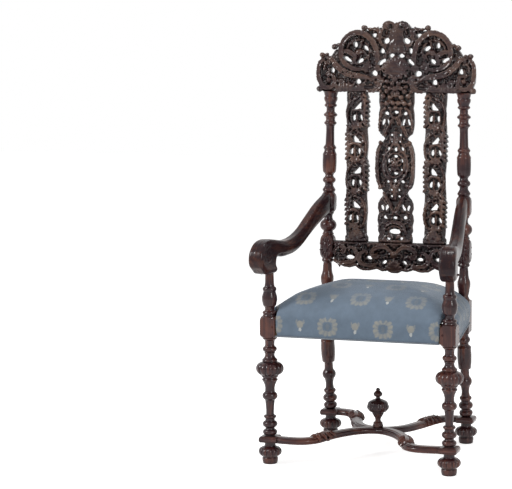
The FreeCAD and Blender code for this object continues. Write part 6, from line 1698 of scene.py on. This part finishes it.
WEB_SHARES = (-0.35, -0.35 / 3, 0.35 / 3, 0.35)
WEB_LEVEL, WEB_WIDTH, WEB_LIFT, WEB_THICKNESS = 446.5, 50.0, 0.62, 1.1
HESSIAN_BOTTOM, HESSIAN_TOP = 448.15, 448.85


def web(name, number, crosswise):
    """One linen web, which passes over and under the four that cross it."""
    share, pace = WEB_SHARES[number], WEB_SHARES[1] - WEB_SHARES[0]
    rear = 2 * REAR_X
    if crosswise:
        long = 2 * FRONT_X - 2 * (FRONT_X - REAR_X) * (share + 0.5)
        first, pace, start, at = rear * WEB_SHARES[0], rear * pace, -long / 2, SEAT_MIDDLE + SEAT_LENGTH * share
    else:
        long = SEAT_LENGTH + RAIL_HALF
        first, pace = SEAT_MIDDLE + SEAT_LENGTH * WEB_SHARES[0], SEAT_LENGTH * pace
        start, at = SEAT_MIDDLE - long / 2, rear * share
    bpy.ops.object.select_all(action="DESELECT")
    bpy.ops.mesh.primitive_grid_add(x_subdivisions=10, y_subdivisions=80, size=1)
    strip = fresh(name)
    for vert in strip.data.vertices:
        along = start + (vert.co.y + 0.5) * long
        across = at + vert.co.x * WEB_WIDTH
        lift = WEB_LIFT * math.cos(math.pi * (number + (along - first) / pace)) * (-1 if crosswise else 1)
        spot = (along, across) if crosswise else (across, along)
        vert.co = (spot[0] * MM, spot[1] * MM, (WEB_LEVEL + lift) * MM)
    return finished(tidy(strip), "SOLIDIFY", thickness=WEB_THICKNESS * MM, offset=0.0)


class ARMCHAIR_OT_seat_base(bpy.types.Operator):
    """Webs and hessian under the stuffing, and the welt round the cover's lower edge"""
    bl_idname = "armchair.seat_base"
    bl_label = "Seat Base and Welt"

    def execute(self, context):
        linen = woven("linen web", (0.34, 0.26, 0.16), (0.42, 0.34, 0.22), 390.0)
        hessian = woven("seat hessian", (0.25, 0.17, 0.09), (0.31, 0.22, 0.12), 250.0)
        for word, crosswise in (("lengthwise", False), ("crosswise", True)):
            strips = [web("web_%d" % number, number, crosswise) for number in range(4)]
            piece = smooth(united("woven_web_" + word, strips), 40)
            dressed(piece, linen, "linen_web", "webbing_" + word)
        plan = ring_walk(seat_plan(-8.5, 10.0), 20.0)
        cloth = notched(prism("seat_hessian", plan, HESSIAN_BOTTOM, HESSIAN_TOP), 0.6)
        dressed(tidy(cloth), hessian, "hessian", "base_cloth")
        pale = woven("seat welt", (0.24, 0.28, 0.33), (0.3, 0.32, 0.34), 330.0)
        corners = seat_plan(4.0, 0.01, 1)[::2]
        cords = []
        for number, here in enumerate(corners):
            there = corners[(number + 1) % 4]
            gaps = [(FRONT_X, FRONT_Y, FRONT_SQUARE) if spot.y < 0 else (REAR_X, REAR_Y, REAR_SQUARE)
                    for spot in (here, there)]
            run, way = [], (there - here).normalized()
            for spot, (x, y, square) in zip((here, there), gaps):
                half = square / 2 + 2.0
                inner = Vector((math.copysign(x - half, spot.x), y + (half if spot.y < 0 else -half)))
                run.append(spot + way * (inner - spot).dot(way))
            count = 24
            cords.append([(*run[0].lerp(run[1], n / count), WELT_LEVEL, WELT_RADIUS) for n in range(count + 1)])
        welt = smooth(tidy(strokes("seat_cord_welt", cords)), 60)
        dressed(welt, pale, "braid", "seat_welt")
        return {"FINISHED"}


class ARMCHAIR_OT_frame_wood(bpy.types.Operator):
    """Finishes of the bare seat frame and of the pegs"""
    bl_idname = "armchair.frame_wood"
    bl_label = "Frame Wood"

    def execute(self, context):
        for name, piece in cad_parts.items():
            if name.endswith("_pegs") or name.startswith(("seat_rail_", "corner_block_")):
                piece.data.materials.clear()
                piece.data.materials.append(walnut_of("peg" if name.endswith("_pegs") else "frame"))
        return {"FINISHED"}


# ---- studio ----

# The camera as fitted to the photograph: metres, degrees, millimetres, shares of the width
CAMERA_PLACE, CAMERA_PITCH, CAMERA_TURN = (1.76187, -6.14391, 1.45741), 5.7230, 16.4668
CAMERA_LENS, CAMERA_SHIFT = 149.93, (-0.2003, -0.1081)


class StudioSettings(bpy.types.PropertyGroup):
    floor_color: bpy.props.FloatVectorProperty(
        name="Floor", description="Colour of the pale studio floor", subtype="COLOR",
        size=3, min=0, max=1, default=(0.85, 0.85, 0.85))
    key_power: bpy.props.FloatProperty(
        name="Key light", description="Power of the large soft light at the left", unit="POWER",
        default=130.0, min=0)
    backdrop_level: bpy.props.FloatProperty(
        name="Backdrop light", description="How strongly the white backdrop lights the chair", default=0.32,
        min=0, max=1)


def softbox(name, place, aim, width, height, power):
    """A large soft lamp that faces a point."""
    bpy.ops.object.select_all(action="DESELECT")
    bpy.ops.object.light_add(type="AREA", location=place)
    lamp = fresh(name)
    lamp.data.shape = "RECTANGLE"
    lamp.data.size, lamp.data.size_y = width, height
    lamp.data.energy = power
    lamp.rotation_euler = (Vector(aim) - Vector(place)).to_track_quat("-Z", "Y").to_euler()
    return lamp


def seen_directly(tree):
    """1 where the camera, a mirror-like surface or a clear one sees this, and 0 elsewhere."""
    path = tree.nodes.new("ShaderNodeLightPath")
    seen = path.outputs["Is Camera Ray"]
    for kind in ("Is Glossy Ray", "Is Transmission Ray"):
        either = tree.nodes.new("ShaderNodeMath")
        either.operation = "MAXIMUM"
        tree.links.new(seen, either.inputs[0])
        tree.links.new(path.outputs[kind], either.inputs[1])
        seen = either.outputs[0]
    return seen


def studio_world(level):
    """A white backdrop that lights the chair at a plain level."""
    world = bpy.data.worlds.new("Studio")
    bpy.context.scene.world = world
    world.use_nodes = True
    tree = world.node_tree
    backdrop = tree.nodes["Background"]
    backdrop.inputs["Color"].default_value = (1, 1, 1, 1)
    lift = tree.nodes.new("ShaderNodeMapRange")
    lift.inputs["To Min"].default_value = level
    tree.links.new(seen_directly(tree), lift.inputs["Value"])
    tree.links.new(lift.outputs[0], backdrop.inputs["Strength"])


class ARMCHAIR_OT_studio(bpy.types.Operator):
    """Pale floor, soft studio lamps, white backdrop and the camera"""
    bl_idname = "armchair.studio"
    bl_label = "Studio"

    def execute(self, context):
        settings = context.scene.armchair_studio
        bpy.ops.object.select_all(action="DESELECT")
        bpy.ops.mesh.primitive_grid_add(x_subdivisions=8, y_subdivisions=8, size=14, location=(0, 3.0, -0.0004))
        floor = settled(fresh("studio_floor"))
        paper = bpy.data.materials.new("studio paper")
        paper.use_nodes = True
        tree = paper.node_tree
        shader = tree.nodes["Principled BSDF"]
        shader.inputs["Base Color"].default_value = (*settings.floor_color, 1)
        shader.inputs["Roughness"].default_value = 0.9
        shader.inputs["Specular IOR Level"].default_value = 0.1
        shader.inputs["Emission Color"].default_value = (1, 1, 1, 1)
        lift = tree.nodes.new("ShaderNodeMath")
        lift.operation = "MULTIPLY"
        tree.links.new(seen_directly(tree), lift.inputs[0])
        lift.inputs[1].default_value = 1 - settings.floor_color[1] * settings.backdrop_level
        tree.links.new(lift.outputs[0], shader.inputs["Emission Strength"])
        floor.data.materials.append(paper)
        softbox("key_light", (-3.2, -2.3, 2.7), (0, 0, 0.6), 1.0, 1.5, settings.key_power)
        softbox("fill_light", (2.8, -2.4, 1.8), (0, 0, 0.6), 0.7, 1.4, settings.key_power * 0.35)
        softbox("top_light", (0.3, 0.2, 3.4), (0, 0, 0.5), 0.5, 0.5, settings.key_power * 0.24)
        studio_world(settings.backdrop_level)
        bpy.ops.object.camera_add(location=CAMERA_PLACE, rotation=(
            math.radians(90 - CAMERA_PITCH), 0, math.radians(CAMERA_TURN)))
        camera = fresh("photo_camera")
        camera.data.sensor_width = 36
        camera.data.lens = CAMERA_LENS
        camera.data.shift_x, camera.data.shift_y = CAMERA_SHIFT
        context.scene.camera = camera
        context.scene.view_settings.view_transform = "Standard"
        return {"FINISHED"}


SETTINGS = {"armchair_turning": TurningSettings, "armchair_carving": CarvingSettings,
            "armchair_seat": SeatSettings, "armchair_finish": FinishSettings,
            "armchair_studio": StudioSettings}
OPERATORS = (ARMCHAIR_OT_front_posts, ARMCHAIR_OT_rear_posts, ARMCHAIR_OT_feet_and_finial, ARMCHAIR_OT_crest,
             ARMCHAIR_OT_splats, ARMCHAIR_OT_lower_rail, ARMCHAIR_OT_arms, ARMCHAIR_OT_stretchers,
             ARMCHAIR_OT_seat, ARMCHAIR_OT_seat_base, ARMCHAIR_OT_frame_wood, ARMCHAIR_OT_studio)


class ARMCHAIR_PT_sidebar(bpy.types.Panel):
    """The chair's pieces and their settings, in the sidebar"""
    bl_idname = "ARMCHAIR_PT_sidebar"
    bl_label = "Carved Armchair"
    bl_space_type = "VIEW_3D"
    bl_region_type = "UI"
    bl_category = "Armchair"

    def draw(self, context):
        for operator in OPERATORS:
            self.layout.operator(operator.bl_idname)
        for name, kind in SETTINGS.items():
            group = getattr(context.scene, name)
            box = self.layout.box()
            for setting in kind.__annotations__:
                box.prop(group, setting)


CLASSES = (*SETTINGS.values(), *OPERATORS, ARMCHAIR_PT_sidebar)


def register():
    for item in CLASSES:
        bpy.utils.register_class(item)
    for name, kind in SETTINGS.items():
        setattr(bpy.types.Scene, name, bpy.props.PointerProperty(type=kind))


def unregister():
    for name in SETTINGS:
        delattr(bpy.types.Scene, name)
    for item in reversed(CLASSES):
        bpy.utils.unregister_class(item)


def main():
    register()
    bpy.ops.armchair.front_posts()
    bpy.ops.armchair.rear_posts()
    bpy.ops.armchair.feet_and_finial()
    bpy.ops.armchair.crest()
    bpy.ops.armchair.splats()
    bpy.ops.armchair.lower_rail()
    bpy.ops.armchair.arms()
    bpy.ops.armchair.stretchers()
    bpy.ops.armchair.seat()
    bpy.ops.armchair.seat_base()
    bpy.ops.armchair.frame_wood()
    bpy.ops.armchair.studio()


if __name__ == "__main__":
    main()
